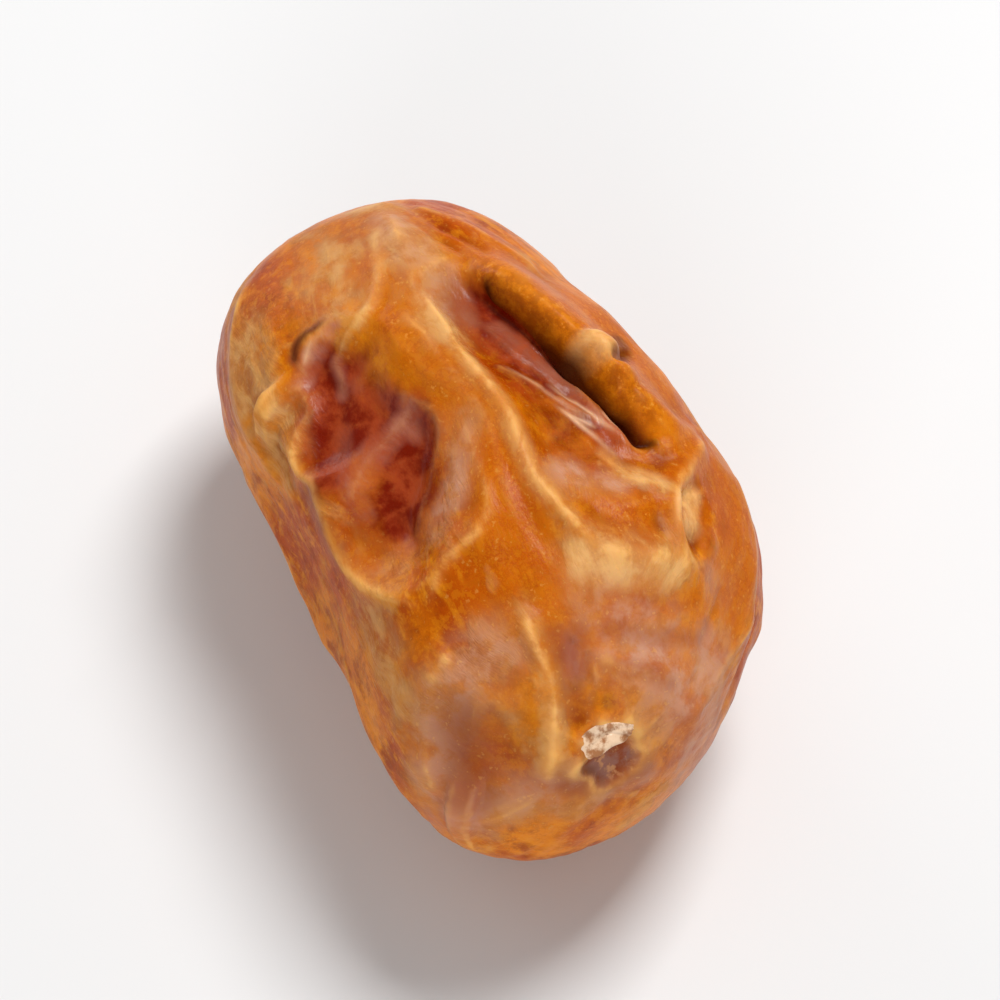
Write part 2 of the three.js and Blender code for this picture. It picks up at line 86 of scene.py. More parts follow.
# Crests are raised edges between two facets of skin: path, reach mm, rise mm
CRESTS = (
    # upper face: the long ridge between the two sunken sides
    (((-18.3, 18), (-14.2, 9), (-11, 3), (-8.3, 0)), 2.6, 0.5),
    (((-10.2, 3), (-8.5, 2), (-5.7, 2), (-3, 0), (0, -1), (3.8, 1), (6.3, 3), (8.6, 7), (10.4, 11)),
     1.6, 0.85),
    (((-8.6, -7), (-4.6, -5), (-0.6, -6), (3.4, -6), (7.4, -7)), 3.2, 0.3),
    # the curl of cream skin at the head of the left hollow, and the pale fold beside it
    (((-14.6, 3), (-12.4, -3), (-11, -9), (-10, -13.5), (-9.5, -18.5), (-9.4, -25), (-9.1, -29), (-8.7, -33),
      (-7.6, -35), (-7, -39)), 1.2, 0.42),
    (((-10.3, -28), (-10.5, -34), (-10.2, -38), (-9.6, -43), (-8.6, -47)), 1.2, 0.28),
    # the shoulder of the tip, towards -Y
    (((-17.2, -51), (-14, -61), (-11.1, -68), (-8.2, -72), (-4.6, -75)), 1.6, 0.34),
    (((-9.5, -55), (-8.6, -62), (-8, -69)), 1.6, 0.22),
    # the winding left rim of the hollow
    (((-9.8, -44), (-8.4, -47), (-6.8, -48), (-5.6, -55), (-3.9, -58), (-2.6, -55.5), (-1.2, -57.5),
      (1.4, -60), (3.6, -57), (5.8, -49), (8, -40)), 1.7, 0.6),
    # the right border of the hollow, and the edge of the pale facet beyond it
    (((-6, -25), (-3.8, -20), (-1.8, -16.5), (-0.2, -20), (0.9, -28), (2.2, -34), (3, -40)), 1.6, 0.26),
    (((-1.2, -12), (1.5, -12), (4.7, -11), (6, -17), (6.2, -25), (7, -33), (7.8, -41)), 2.2, 0.34),
    # inside the hollow
    (((-3.2, -19), (-2.9, -23), (-2.9, -27), (-2.7, -33), (-2.4, -39), (-1.5, -45), (-0.3, -49), (0.8, -51)),
     1.5, 0.14),
    # upper face, towards +Y
    (((-16.2, 26), (-13.7, 31), (-11, 36), (-8.6, 41)), 1.6, 0.22),
    (((-1.2, 23), (1, 25.5), (3, 28), (4.8, 32)), 0.55, 0.2),
    (((-0.2, 18), (1.2, 21), (2.3, 25)), 0.5, 0.18),
    (((-6.6, 14), (-4.2, 15), (-1.8, 17), (0, 21)), 0.9, 0.2),
    (((-3, 7), (-1.8, 11), (-0.6, 16)), 0.9, 0.14),
    (((4.8, 19), (6.3, 24), (7.2, 29), (8, 36)), 1.7, 0.36),
    (((5.6, 37), (4.8, 44), (4, 51), (3.4, 57)), 1.8, 0.3),
    (((4, 55), (5.6, 48), (7, 42), (8.4, 35.5), (9.8, 32), (11.4, 31.5), (13, 36)), 1.3, 0.6),
    (((8.8, 6), (10.2, 13), (11.2, 21), (11.6, 30)), 2.2, 0.36),
    (((5.4, 65), (8.4, 67), (11.4, 70), (14.8, 68)), 2.4, 0.25),
    # lower face, round the shallow oval, and the facets beside the scar
    (((10.4, -15), (12.2, -17), (14.1, -17), (16, -18), (17.8, -24), (18.9, -38)), 2.2, 0.6),
    (((10.8, -39), (11.4, -49), (13.5, -67), (16, -77)), 2.8, 0.35),
    (((12.6, 80), (14.9, 69), (16.8, 61), (18.5, 49)), 2.8, 0.4),
    (((14.7, 2), (15.9, 13), (16.8, 31), (16.4, 54)), 2.0, 0.25),
    # the side that faces +Y
    (((-15, 82), (-10, 90), (-5, 94), (0, 92), (5, 99), (10, 103), (14, 101)), 3.0, 0.65),
    (((-8, 114), (-3, 123), (2, 121), (7, 128), (12, 124)), 2.6, 0.55),
    (((-3, 95), (-1.6, 104), (0.4, 112), (2, 121)), 1.8, 0.35),
    # the side that faces -Y
    (((-14, -94), (-9, -102), (-4, -98), (1, -102), (6, -98), (11, -94), (15, -99)), 3.0, 0.6),
    (((-11, -128), (-6, -121), (0, -126), (5, -119), (10, -124)), 2.6, 0.5),
    (((3, -101), (4.2, -107), (4.6, -113), (6, -120)), 1.8, 0.35),
)
# Creases are cut lines with sharp bottoms: path, reach mm, depth mm
CREASES = (
    (((-8.4, 23), (-7.4, 24.4), (-6.2, 25.4), (-3.5, 27.7), (-0.6, 30), (2, 32), (4.2, 34.6), (5, 37)),
     0.8, 1.6),
    (((-1.5, 43), (-0.5, 42), (0.1, 40), (0.2, 36)), 0.6, 0.5),
    (((-7.2, 16), (-4.6, 20), (-2, 23), (0, 25)), 0.55, 0.24),
    (((-5.8, 11.5), (-3.4, 15), (-1, 18.5), (0.8, 21.5)), 0.5, 0.2),
    (((-7.5, 19.5), (-5.2, 22.4), (-2.8, 25)), 0.5, 0.2),
    (((7.2, 47.5), (7.9, 42), (8.7, 37.5), (9.8, 35), (11, 36)), 0.6, 0.5),
    (((-13.2, 18), (-11.7, 21), (-9.8, 22)), 0.7, 0.25),
    (((-13.9, 23), (-12.1, 27), (-10, 29)), 0.6, 0.2),
    (((13.5, -3), (14.5, -7), (15.7, -7), (16.4, -9)), 0.9, 0.3),
    (((14.5, 0), (15.5, -3), (16.2, -3)), 0.7, 0.22),
    (((17.4, 43), (14.8, 49), (12.7, 55)), 1.0, 0.25),
    (((17.6, 95), (14, 88), (9, 84), (5, 80)), 1.5, 0.5),
    (((-14, 108), (-9, 106), (-4, 110)), 1.3, 0.5),
    (((-16, -112), (-11, -114), (-5, -111), (0, -113)), 1.4, 0.5),
)
# Hollows are dips with a floor, and those that overlap make one basin: path, reach mm, depth mm
HOLLOWS = (
    # the large wet hollow of the upper face
    (((-7, -36), (-5, -35), (-2.4, -32), (0.2, -33), (2, -38)), 4.7, 1.85),
    (((-6.8, -42), (-5.4, -45), (-4.2, -47)), 2.2, 1.25),
    (((-5.4, -28), (-4.4, -31)), 2.2, 1.25),
    (((-1.6, -23.5), (-0.9, -28.5), (0.1, -33.5)), 1.8, 1.4),
    (((0, -32), (1, -37.5), (1.9, -41)), 2.1, 1.4),
    (((-8.2, -25), (-7.6, -21)), 1.4, 0.4),
    (((-9.5, -36), (-8.9, -43)), 1.3, 0.7),
    (((-11.3, -33), (-11.4, -39)), 1.3, 0.25),
    # the pale facet that slopes into it
    (((0.6, -16), (2.8, -19), (4, -26)), 2.4, 0.45),
    # the floor of the groove
    (((-7.6, 13), (-4.3, 14), (-0.7, 16), (2.5, 19), (5.4, 25)), 3.7, 1.25),
    (((-6.5, 21), (-3.2, 23.5), (-0.3, 26), (2.2, 29)), 2.0, 0.85),
    (((7.8, 14), (8.9, 19), (9.6, 26)), 2.2, 0.4),
    (((-15.3, -25), (-12.7, -28)), 3.6, 0.3),
    (((-7.2, -67), (-5.8, -67)), 2.2, 0.25),
    (((8.8, 43), (10.4, 41.5)), 1.9, 0.85),
    (((8.4, 51), (10.8, 50), (13.3, 55)), 3.2, 0.45),
    (((13.7, -59), (15.7, -57), (16.6, -47)), 3.4, 0.65),
    (((13.7, 17), (15.3, 39), (15.7, 53)), 4.2, 0.5),
    (((13.7, -3), (15.5, -7), (16.8, -7)), 2.6, 0.35),
    # the side that faces +Y
    (((-9, 79), (-2, 81), (3, 83)), 3.0, 0.5),
    (((-6, 107), (-2, 110)), 3.8, 0.8),
    (((5, 112), (9, 116)), 4.0, 0.8),
    # the side that faces -Y
    (((-10, -114), (-4, -114)), 4.0, 0.75),
    (((6, -110), (11, -110)), 4.2, 0.85),
    (((-4, -84), (2, -83)), 3.2, 0.35),
)
# Rolls are rounded swellings: path, reach mm, rise mm
LONG_ROLL = (((-12.1, 21), (-10, 24), (-8.2, 27.6), (-5.8, 30.6), (-3.6, 33.2), (-1.5, 35.8), (1, 38.8),
              (3.4, 42), (5.4, 46)), 2.0, 1.35)
ROLLS = (
    LONG_ROLL,
    (((-8.6, 43), (-4.6, 48), (-0.6, 53), (3.4, 57)), 4.5, 0.8),
    (((-9.2, -59), (-7.4, -56)), 2.7, 0.7),
    (((-9.6, -7), (-4.6, -9)), 3.0, 0.25),
    (((16.4, -84), (18, -80)), 4.5, 0.5),
)
# Beads are small round lumps that stand on the other folds: path, reach mm, rise mm
BEADS = (
    (((-1.1, 35), (-0.7, 36)), 1.3, 0.72),
    (((0.8, 36.5), (1.2, 37.5)), 1.1, 0.45),
    (((2.8, 40), (3.6, 42)), 1.4, 0.3),
    (((8.3, 43), (9.4, 41)), 1.1, 0.22),
    (((10.4, 46), (10.8, 47)), 0.9, 0.15),
)
# The share of a path over which a fold rises from nothing at each end
TAPER = 0.16
ROLL_TAPER = 0.34
GLINT_TAPER = 0.3
# Steps between two points of a path, how far the highest fold wins where folds meet, and the steepness of a
# sharp top and of a broad one
PATH_STEPS = 5
MERGE = 3
EDGE_POWER = 1.7
FLOOR_POWER = 1.4

# Colour patches of the skin: path, reach mm, strength
PATCHES = {
    # dull cream and tan skin that has lifted off the flesh
    "beige": (
        (((-10, -13), (-9.5, -18.5), (-9.4, -25), (-9.1, -29)), 0.6, 1.0),
        (((-16.3, -13), (-13.7, -17), (-11.7, -21)), 4.2, 0.7),
        (((-10.6, -67), (-7.6, -61), (-5.6, -63)), 2.8, 0.7),
        (((-17.9, 13), (-14.2, 9), (-10.6, 5), (-8.2, 2), (-6, 1)), 2.6, 1.0),
        (((-6, 1), (-3, -1), (0, -2), (3.8, 0), (6.3, 2), (8.6, 6)), 1.1, 0.7),
        (((9.8, 6), (11, 17), (11.8, 29)), 2.5, 1.0),
        (((6.4, 26), (7.8, 33)), 1.2, 0.8),
        (((9.6, 30), (11, 30), (12.2, 33)), 1.0, 0.7),
        (((-10, -61), (-8, -56), (-6.6, -55)), 2.6, 0.8),
        (((-13.1, -57), (-11, -61), (-9.2, -67)), 2.6, 0.8),
        (((-2.6, -56), (0.4, -59), (3.4, -56)), 1.0, 0.5),
        (((10.8, -16), (14.1, -17), (16.6, -20), (18.3, -29)), 1.5, 0.8),
        (((14.8, -84), (17.6, -71)), 3.0, 0.4),
        (((11.6, -22), (12.6, -34), (13.4, -50)), 2.6, 0.45),
        (((5.8, -60), (9, -61), (11.6, -64)), 3.0, 0.65),
        (((15.6, -86), (18.4, -64), (19.5, -34)), 2.2, 0.6),
        (((12.8, -27), (15, -32), (17.2, -33)), 1.6, 0.6),
        (((-6.5, -4), (-4, -7), (-2, -8), (0, -9)), 1.7, 0.5),
    ),
    # clean skin, almost white, and a painted highlight in the dimple on the +Y side
    "cream": (
        (((10, 6), (11.2, 15), (12, 27)), 1.6, 0.6),
        (((-1.2, 34.8), (-0.8, 36)), 1.35, 0.9),
        # painted highlight in the dimple
        (((8.2, 43), (8.8, 41.6), (9.7, 40.4)), 1.2, 0.9),
        (((4.6, 24), (6, 27), (7.2, 33)), 0.8, 0.5),
        (((-8.6, 0), (-5.7, 2), (-3, 0), (0, -1), (3.8, 1), (6.3, 3)), 0.9, 0.3),
        (((-14.6, 3), (-12.4, -3), (-11, -9), (-10, -13.5), (-9.5, -18.5)), 0.7, 0.4),
    ),
    # wet skin in the hollows whose reddish lilac is mostly a painted reflection of the bright surroundings,
    # and some violet-grey skin by the scar
    "mauve": (
        (((-3, -23), (-2.9, -27)), 0.8, 0.9),
        (((-2.9, -27), (-2.7, -32.5), (-2.5, -37.5)), 0.95, 0.85),
        (((-2.5, -37.5), (-2.2, -42), (-1.5, -46)), 1.2, 0.8),
        (((-1.5, -46), (-0.6, -48.5), (0.4, -49.5)), 0.9, 0.6),
        (((-8.8, -33), (-7.6, -35), (-7, -38)), 0.8, 0.7),
        (((-6.9, -31), (-6.6, -32)), 0.8, 0.8),
        (((-4.6, -44), (-3.4, -47)), 0.9, 0.3),
        (((13.8, -4), (15, -6)), 1.1, 0.85),
        (((-3.2, -21.5), (-2.3, -24.5)), 1.0, 0.75),
        (((-10.6, -26.5), (-10.3, -32.5), (-9.7, -41), (-8.7, -46)), 0.75, 1.0),
        (((-6, 16), (-3.6, 18.5), (-1.4, 21)), 0.9, 0.35),
        (((1.6, 25), (3, 28), (4.2, 32)), 0.7, 0.6),
        (((15, -104), (16.4, -90), (17, -78), (16.9, -70)), 2.2, 0.7),
    ),
    # pale lilac skin, which is painted sheen: the reflection of the bright surroundings on the glossy skin,
    # that also pales the lower face
    "lilac": (
        (((0, -13), (1.6, -15), (2.8, -20), (3.6, -27)), 1.9, 0.85),
        (((-15.3, 11), (-11.7, 7), (-8.4, 5)), 1.7, 0.7),
        (((-6, 18), (-2.6, 20), (0.4, 23)), 0.8, 0.3),
        (((5.2, 10), (6.2, 14), (7, 20)), 1.6, 0.9),
        (((-10.2, 11), (-8.4, 9), (-7, 8)), 1.6, 0.6),
        (((12.5, 47), (13.3, 55)), 1.8, 0.5),
        (((13.9, -4), (15.5, -7)), 1.3, 0.7),
        (((13.3, 7), (15.7, 23), (17.2, 43)), 4.4, 0.9),
        (((16.2, 49), (17.8, 65), (18.6, 84)), 4.0, 0.8),
        (((11.8, -28), (12.6, -44), (14.4, -66), (17.2, -77)), 3.2, 0.8),
        (((17.8, -67), (19.3, -31), (19.4, 9)), 3.0, 0.6),
        (((19.1, -31), (19.5, -1), (19.5, 29)), 2.0, 0.8),
    ),
    # thin skin drawn tight on orange flesh
    "amber": (
        (((-10.6, -3), (-7.6, -9), (-3.6, -9), (0.4, -4), (4.4, -5)), 2.6, 0.9),
        (((6.4, -9), (9.4, -15), (12.3, -7)), 4.5, 0.7),
        (((-10.6, 26), (-5.6, 34), (0.4, 42), (5.4, 48)), 2.6, 0.95),
        (((8, 15), (8.9, 22), (9.4, 30)), 1.8, 1.0),
        (((5.4, 43), (6.8, 55)), 1.8, 0.9),
        (((6.4, 61), (9.4, 63), (12.9, 61)), 3.0, 0.9),
        (((12.2, 11), (12.5, 25)), 0.9, 0.8),
        (((-12.8, -8), (-11, -7), (-9, -5)), 1.5, 1.0),
        (((-2, -14), (1, -12), (4, -10)), 1.6, 0.7),
        (((2, 24), (5, 30), (7.4, 39)), 1.3, 0.7),
        (((-7.6, 38), (-3.2, 42), (1.4, 46)), 2.2, 0.95),
        (((1.4, -50), (3, -52)), 1.5, 0.8),
    ),
    # dusky violet-brown skin round the scar and on the lower face, with painted shade in the gap along the
    # curl, beside the dimple and along the hollow's left rim
    "dusk_and_shade": (
        (((-11.2, -29), (-11.1, -35.5), (-10.8, -41), (-10.1, -45)), 0.5, 1.0),
        (((14.8, -50), (15.9, -55), (16.6, -60)), 3.0, 0.85),
        (((-2.6, -60), (-0.6, -61), (1.6, -61)), 1.3, 0.75),
        (((12.9, -10), (14.7, -11), (16.8, -12)), 1.0, 0.6),
        (((13.5, -3), (15.5, -6), (16.6, -7)), 1.3, 0.55),
        (((15.5, 5), (16.2, 17), (17, 30)), 0.8, 0.6),
        (((13.9, 9), (15.1, 25), (15.5, 43)), 0.9, 0.5),
        (((19.1, -25), (19.5, -1), (19.4, 23)), 1.5, 0.9),
        (((-9.5, 13), (-8.2, 11), (-6.8, 9)), 1.2, 0.5),
        (((8.8, 38), (10.6, 36.2)), 0.4, 0.8),
    ),
    # painted shade: almost black along the depth of the long slit, in the gap along the curl and round the
    # knob, where shade falls
    "crease_shade": (
        (((-8, 23.4), (-6, 25.3), (-3.4, 27.7), (-0.6, 30), (2, 32), (4.2, 34.5), (4.9, 36.5)), 0.6, 1.0),
        (((-8.1, 23.6), (-6, 25.8), (-3.6, 28.2)), 0.7, 0.6),
        (((-11.1, -30), (-11.1, -35.5), (-10.8, -41), (-10.2, -44)), 0.34, 0.6),
        (((-2.4, 44), (-1.3, 43.6), (-0.4, 41), (-0.1, 38)), 0.5, 0.5),
    ),
    # painted light: the roll's wall, which faces away from the lamps, painted an even amber as if light came
    # through its thin skin
    "glow": (
        (((-9, 24.4), (-7.4, 26.8), (-5.2, 29), (-3, 31), (-0.8, 33.2), (1.6, 35.8), (3.4, 38.6)), 1.1, 0.9),
    ),
    # deep, wet, red-brown skin
    "ruby": (
        (((-7, -38), (-4.8, -37), (-2.4, -34), (-0.4, -33), (1, -39)), 3.7, 1.0),
        (((-8.4, -42), (-7.9, -36), (-7.6, -29)), 1.8, 1.0),
        (((-6.6, -44), (-4.4, -47), (-2.4, -50)), 2.3, 1.0),
        (((-5.6, -31), (-4, -25)), 2.0, 1.0),
        (((-2.6, -21.5), (-1.4, -23), (-0.8, -28), (0.1, -34), (1.1, -39), (1.8, -43)), 2.0, 1.0),
        (((-9.6, -34), (-9.1, -41), (-8.4, -44)), 1.1, 1.0),
        (((-7.6, 16), (-4, 18), (-1.2, 21)), 2.8, 1.0),
        (((-1, 21), (1.4, 24), (3.6, 28)), 2.3, 0.85),
        (((-2, 11), (0.6, 13), (3.2, 15), (4.6, 19)), 2.0, 0.55),
        (((10.2, 45.6), (11, 46.6)), 0.9, 0.55),
    ),
}
# Painted highlights: thin bright lines of painted reflection on the wet skin of the groove, the curl and the
# dimple: path, reach mm, strength
GLINTS = (
    (((1.6, 27.4), (3.2, 30.4), (4.9, 35)), 0.3, 1.0),
    (((0.8, 16), (1.9, 20.5), (2.9, 25)), 0.28, 0.8),
    (((-3, 9), (-0.3, 16), (2.5, 23.5)), 0.26, 0.5),
    (((-1.2, 16.5), (1.5, 23.5), (4.2, 31)), 0.28, 0.9),
    (((0.4, 15.2), (1.2, 17.8), (2.4, 20.5), (3.5, 23.6), (4.8, 26.8), (5.8, 29.2)), 0.32, 1.0),
    (((-5.2, 17), (-3.4, 20)), 0.28, 0.4),
    (((7.9, 37.5), (9, 33.5), (10.6, 32), (12.2, 33.5)), 0.4, 0.5),
    (((-10.5, -29.5), (-10.5, -35), (-10.1, -39.5), (-9.4, -43.5)), 0.32, 0.9),
)
# The pale line along the top of each crest: its reach, and the rise of a crest whose line is full, in mm
RIM_REACH = 0.5
FULL_RIM = 0.6
FULL_SUNKEN = 1.2  # depth at which a hollow counts as fully sunken, mm

# The torn pit where the stalk came away: place on the egg, and sizes in mm
STEM_AT = (18.9, 2)
PIT_REACH = 1.9
PIT_DEPTH = 0.4
PIT_WALL = 0.8
PIT_WAVES = 2.2
PIT_RAGGED = 0.18
PIT_SEED = 41
LIP_REACH = 0.55
LIP_RISE = 0.3
LIP_GAP = 0.15
LIP_EVEN = 0.75
LIP_RAGGED = 0.5
# The low side of the pit's lip: its share of the height, and where it starts to rise to the full height
LOW_LIP = 0.3
LOW_LIP_START = -0.5
LOW_LIP_OVER = 0.8
# The puckers round the pit: their reach and rise in mm, the ring where they are strongest, and their waves
PUCKER_REACH = 5.5
PUCKER_RISE = 0.16
PUCKER_AT = 0.6
PUCKER_OVER = 0.3
PUCKER_WAVES = 2.6
PUCKER_PITCH = 3
PUCKER_SEED = 43

# The torn flake of stalk over the pit: sizes in mm, and shares of its size
FLAKE_THICKNESS = 0.16
FLAKE_CURL = 0.42
CURL_START = 0.35
CURL_OVER = 1.2
FLAKE_TAPER = 0.3
FLAKE_TILT = 0.02
FLAKE_ARCH = 0.1
FLAKE_NOTCH = 0.1
FLAKE_SHIFT = 0.55
FLAKE_SAG = 0.1
NOTCH_SEED = 66
FLAKE_RAGGED = ((0.14, 1.5, 7, 61), (0.06, 3.4, 3, 62))  # share, waves, shift and seed of each raggedness
FIBRES = (1.1, 3.4)  # fibres to a millimetre, along them and across them
FIBRE_RISE = 0.02
FIBRE_SEED = 63
WARP_RISE = 0.08
WARP_SCALE = 1.3
WARP_SEED = 64
RIM_LEVEL = 0.3  # how strong the lip is, at least, where the flake hangs on it
DROP = 6.0  # how far over the skin its height is measured from

# The dry point at the tip and the puckers round it: sizes in mm, and the number of puckers
TIP_REACH = 1.5
TIP_RISE = 0.5
TIP_PUCKERS = 7
TIP_PUCKER_RISE = 0.12
TIP_PUCKER_AT = 2.4
TIP_PUCKER_TURN = 1  # how far the puckers are turned round the tip, in radians of one pucker

# The skin unrolled flat, for folds that run along the fruit, in mm
UNROLLED_LENGTH = 17.0
UNROLLED_GIRTH = 12.0
AXIS_POWER = 4  # how near the stem end the middle line turns towards the pit
# How far the folds wander from smooth lines, in mm
WANDER = 1.1
WANDER_SCALE = 5.5
WANDER_SEEDS = (11, 23, 37)
FINE_WANDER = 0.5
FINE_WANDER_SCALE = 1.9
FINE_WANDER_SEEDS = (51, 53, 57)
# Buckles of the drying skin: length along the fruit and width round it in mm, and the seed
SWELLS = (11.0, 5.0, 3)
CELLS = (10.0, 5.0, 5)
FOLDS = (6.0, 2.4, 9)
RIPPLES = (4.0, 1.2, 71)
# How far each kind of buckle rises, in mm
SWELL_RISE = 0.4
CELL_RISE = 0.55
FOLD_RISE = 0.1
RIPPLE_RISE = 0.06
# The share of a cell's rise that is left out, and how wide its crest is against the cell
CELL_LEVEL = 0.3
CELL_CREST = 0.75
# The side that stays smoothest, the share of the buckles left out there, and where and how fast that begins
SMOOTHEST_SIDE = (0.42, -0.21, 0.88)
CALM = 0.85
CALM_START = -0.5
CALM_OVER = 0.5
# How the buckles fade towards both ends
END_GAIN = 1.9
END_START = 0.35
# Where the streaks of the colour give way to even spots, in radians from the middle towards an end
END_FROM = 0.55
END_OVER = 0.5
# The underside, where the folds are pressed out, and how deep it is pressed flat
UNDER_START = 0.75
UNDER_OVER = 0.2
UNDER_SHARE = 0.8
REST_DEPTH = 0.55
ROLL_LEAN = 1.8  # how far the long roll leans over the groove, mm

# How often the cube that each piece starts as is split, and the rounds that even out the skin's curvature
SKIN_SPLITS = 7
FLAKE_SPLITS = 6
EDGE_ROUNDS = 3
BULGE_ROUNDS = 30
# What scatters the whole numbers of a place: a factor for each of them and one for the seed, shifts with a
# factor each, a last shift, and the range of the result
SCATTER = (374761393, 668265263, 1274126177, 40503)
STIRS = ((13, 1103515245), (15, 668265263))
LAST_STIR = 16
SCATTER_RANGE = 4294967296

# Colours as they look on a screen, 0 to 255. Among them are painted shade, in the tones for the dips, the
# creases and part of the dusk, and painted light, in the glint, the wall tones and part of the swell, lilac
# and mauve tones.
TONES = {
    "umber": (176, 72, 0), "amber": (214, 120, 6), "russet": (134, 40, 0), "honey": (228, 144, 20),
    "tight dark": (174, 72, 0), "tight light": (210, 114, 6), "dip_shade": (118, 32, 0), "swell_highlight": (226, 140, 20),
    "loose dark": (182, 112, 46), "loose light": (212, 152, 90),
    "fleck dark": (128, 44, 0), "fleck light": (232, 150, 20), "speck": (246, 186, 92),
    "beige dark": (178, 108, 40), "beige light": (212, 158, 96), "cream": (236, 182, 114),
    "ruby light": (158, 62, 26), "ruby dark": (116, 22, 0),
    "lilac dark": (178, 106, 68), "lilac light": (202, 146, 116),
    "mauve": (184, 110, 86), "dusk_and_shade": (146, 72, 42),
    "edge": (240, 178, 96), "rim": (240, 184, 116), "glint": (250, 204, 160), "crease_shade": (58, 10, 0),
    "wall dark": (156, 70, 2), "wall light": (206, 116, 8),
    "pit orange": (140, 62, 30), "pit violet": (146, 100, 88), "pit fibre": (206, 148, 100),
    "lip": (214, 170, 112), "tip": (84, 48, 24), "stalk dark": (164, 108, 66), "stalk light": (232, 198, 164),
}
# How a screen colour turns into a linear one: straight below the knee, and a power above it
SCREEN_KNEE = 0.04
SCREEN_SLOPE = 12.92
SCREEN_SHIFT = 0.055
SCREEN_POWER = 2.4
# Noise in the materials: scale, detail, roughness and distortion. The scale is in waves to a metre, and of
# streak, sheet and crinkle in waves to a millimetre of the grain
NOISES = {
    "broad": (170.0, 3.0, 0.5, 0.5),
    "mottle": (520.0, 5.0, 0.6, 0.25),
    "fleck": (1300.0, 4.0, 0.75, 0.0),
    "speckle": (2600.0, 2.0, 0.6, 0.0),
    "pores": (3600.0, 2.0, 0.5, 0.0),
    "shreds": (1500.0, 3.0, 0.6, 0.0),
    "even": (300.0, 4.0, 0.5, 0.4),
    "streak": (1.1, 5.0, 0.6, 0.3),
    "sheet": (0.4, 4.0, 0.5, 0.4),
    "crinkle": (3.4, 2.0, 0.5, 0.2),
    "fibre": (1500.0, 5.0, 0.6, 0.0),
}
# How far the grain is drawn out along the fruit, for streaks and for crinkles
STREAK_SCALE = (0.55, 1.0, 1.0)
CRINKLE_SCALE = (0.25, 1.0, 1.0)
SKIN_BUMP = {"Strength": 0.7, "Distance": 0.0002}
SKIN_FINISH = {
    "Specular IOR Level": 0.07,
    "Coat Roughness": 0.24,
    "Subsurface Weight": 0.2,
    "Subsurface Radius": (1.0, 0.35, 0.08),
    "Subsurface Scale": 0.0015,
}
SCAR_BUMP = {"Strength": 0.6, "Distance": 0.0001}
SCAR_ROUGHNESS = 0.3

# Lights round the camera's view: name, metres right, up and towards the camera, size in metres, watts
LIGHTS = (
    ("key", 0.16, 0.44, 0.36, 0.22, 3.1),
    ("fill", -0.08, -0.46, 0.5, 0.45, 1.8),
    ("rim", -0.35, 0.45, -0.1, 0.25, 0.6),
)
WORLD_LIGHT = 0.3
# The camera's distance from the fruit in metres, its lens in mm, and the nearest that it sees in metres
CAMERA_REACH = 0.43
CAMERA_LENS = 275.0
CAMERA_CLIP = 0.01
# The floor's size in metres, and its paper
FLOOR_RADIUS = 3.0
FLOOR_SIDES = 96
FLOOR_TONE = 0.78
FLOOR_ROUGHNESS = 0.7


def smooth(t):
    """Eases 0 to 1 with level ends."""
    t = np.clip(t, 0, 1)
    return t * t * (3 - 2 * t)


def spline(values, t):
    """A smooth curve through values, which stand at t = 0, 1, 2 and so on."""
    values = np.asarray(values, float)
    last = len(values) - 1
    i = np.clip(np.floor(t).astype(int), 0, last - 1)
    f = t - i
    p0, p1, p2, p3 = (values[np.clip(i + n, 0, last)] for n in (-1, 0, 1, 2))
    if values.ndim == 2:
        f = f[:, None]
    a, b = (p2 - p0) / 2, (p3 - p1) / 2
    return (2 * p1 - 2 * p2 + a + b) * f**3 + (3 * p2 - 3 * p1 - 2 * a - b) * f**2 + a * f + p1


def chance(i, j, k, seed):
    """A repeatable number from 0 to 1 for each whole-number place in space."""
    mixed = np.zeros(i.shape, np.uint32)
    for whole, factor in zip((i, j, k, np.full_like(i, seed)), SCATTER):
        mixed ^= whole.astype(np.uint32) * np.uint32(factor)
    for shift, factor in STIRS:
        mixed = (mixed ^ (mixed >> np.uint32(shift))) * np.uint32(factor)
    return (mixed ^ (mixed >> np.uint32(LAST_STIR))) / SCATTER_RANGE


def noise(p, seed):
    """Smooth noise from -1 to 1 at points p."""
    low = np.floor(p).astype(np.int64)
    u, v, w = smooth(p - low).T
    i, j, k = low.T
    total = 0
    for a in (0, 1):
        for b in (0, 1):
            for c in (0, 1):
                share = (u if a else 1 - u) * (v if b else 1 - v) * (w if c else 1 - w)
                total = total + share * chance(i + a, j + b, k + c, seed)
    return 2 * total - 1


def stacked(p, seed):
    """Smooth noise with noise on it that is half as strong and half as wide."""
    return noise(p, seed) + noise(2 * p, seed + 1) / 2


def celled(p, seed):
    """Cells at points p: 0 in the middle of a cell, rising to 1 along the crest between two cells."""
    low = np.floor(p).astype(np.int64)
    nearest = np.full(len(p), np.inf)
    second = np.full(len(p), np.inf)
    for a in (-1, 0, 1):
        for b in (-1, 0, 1):
            for c in (-1, 0, 1):
                i, j, k = low[:, 0] + a, low[:, 1] + b, low[:, 2] + c
                x = i + chance(i, j, k, seed) - p[:, 0]
                y = j + chance(i, j, k, seed + 1) - p[:, 1]
                z = k + chance(i, j, k, seed + 2) - p[:, 2]
                far = np.sqrt(x * x + y * y + z * z)
                second = np.minimum(second, np.maximum(far, nearest))
                nearest = np.minimum(nearest, far)
    return 1 - np.clip((second - nearest) / CELL_CREST, 0, 1)


def colour(red, green, blue):
    """A screen colour, 0 to 255, as the linear one that a shader takes."""

    def linear(share):
        """The linear level of a share of a full screen level."""
        if share < SCREEN_KNEE:
            return share / SCREEN_SLOPE
        return ((share + SCREEN_SHIFT) / (1 + SCREEN_SHIFT)) ** SCREEN_POWER

    return (linear(red / 255), linear(green / 255), linear(blue / 255), 1.0)


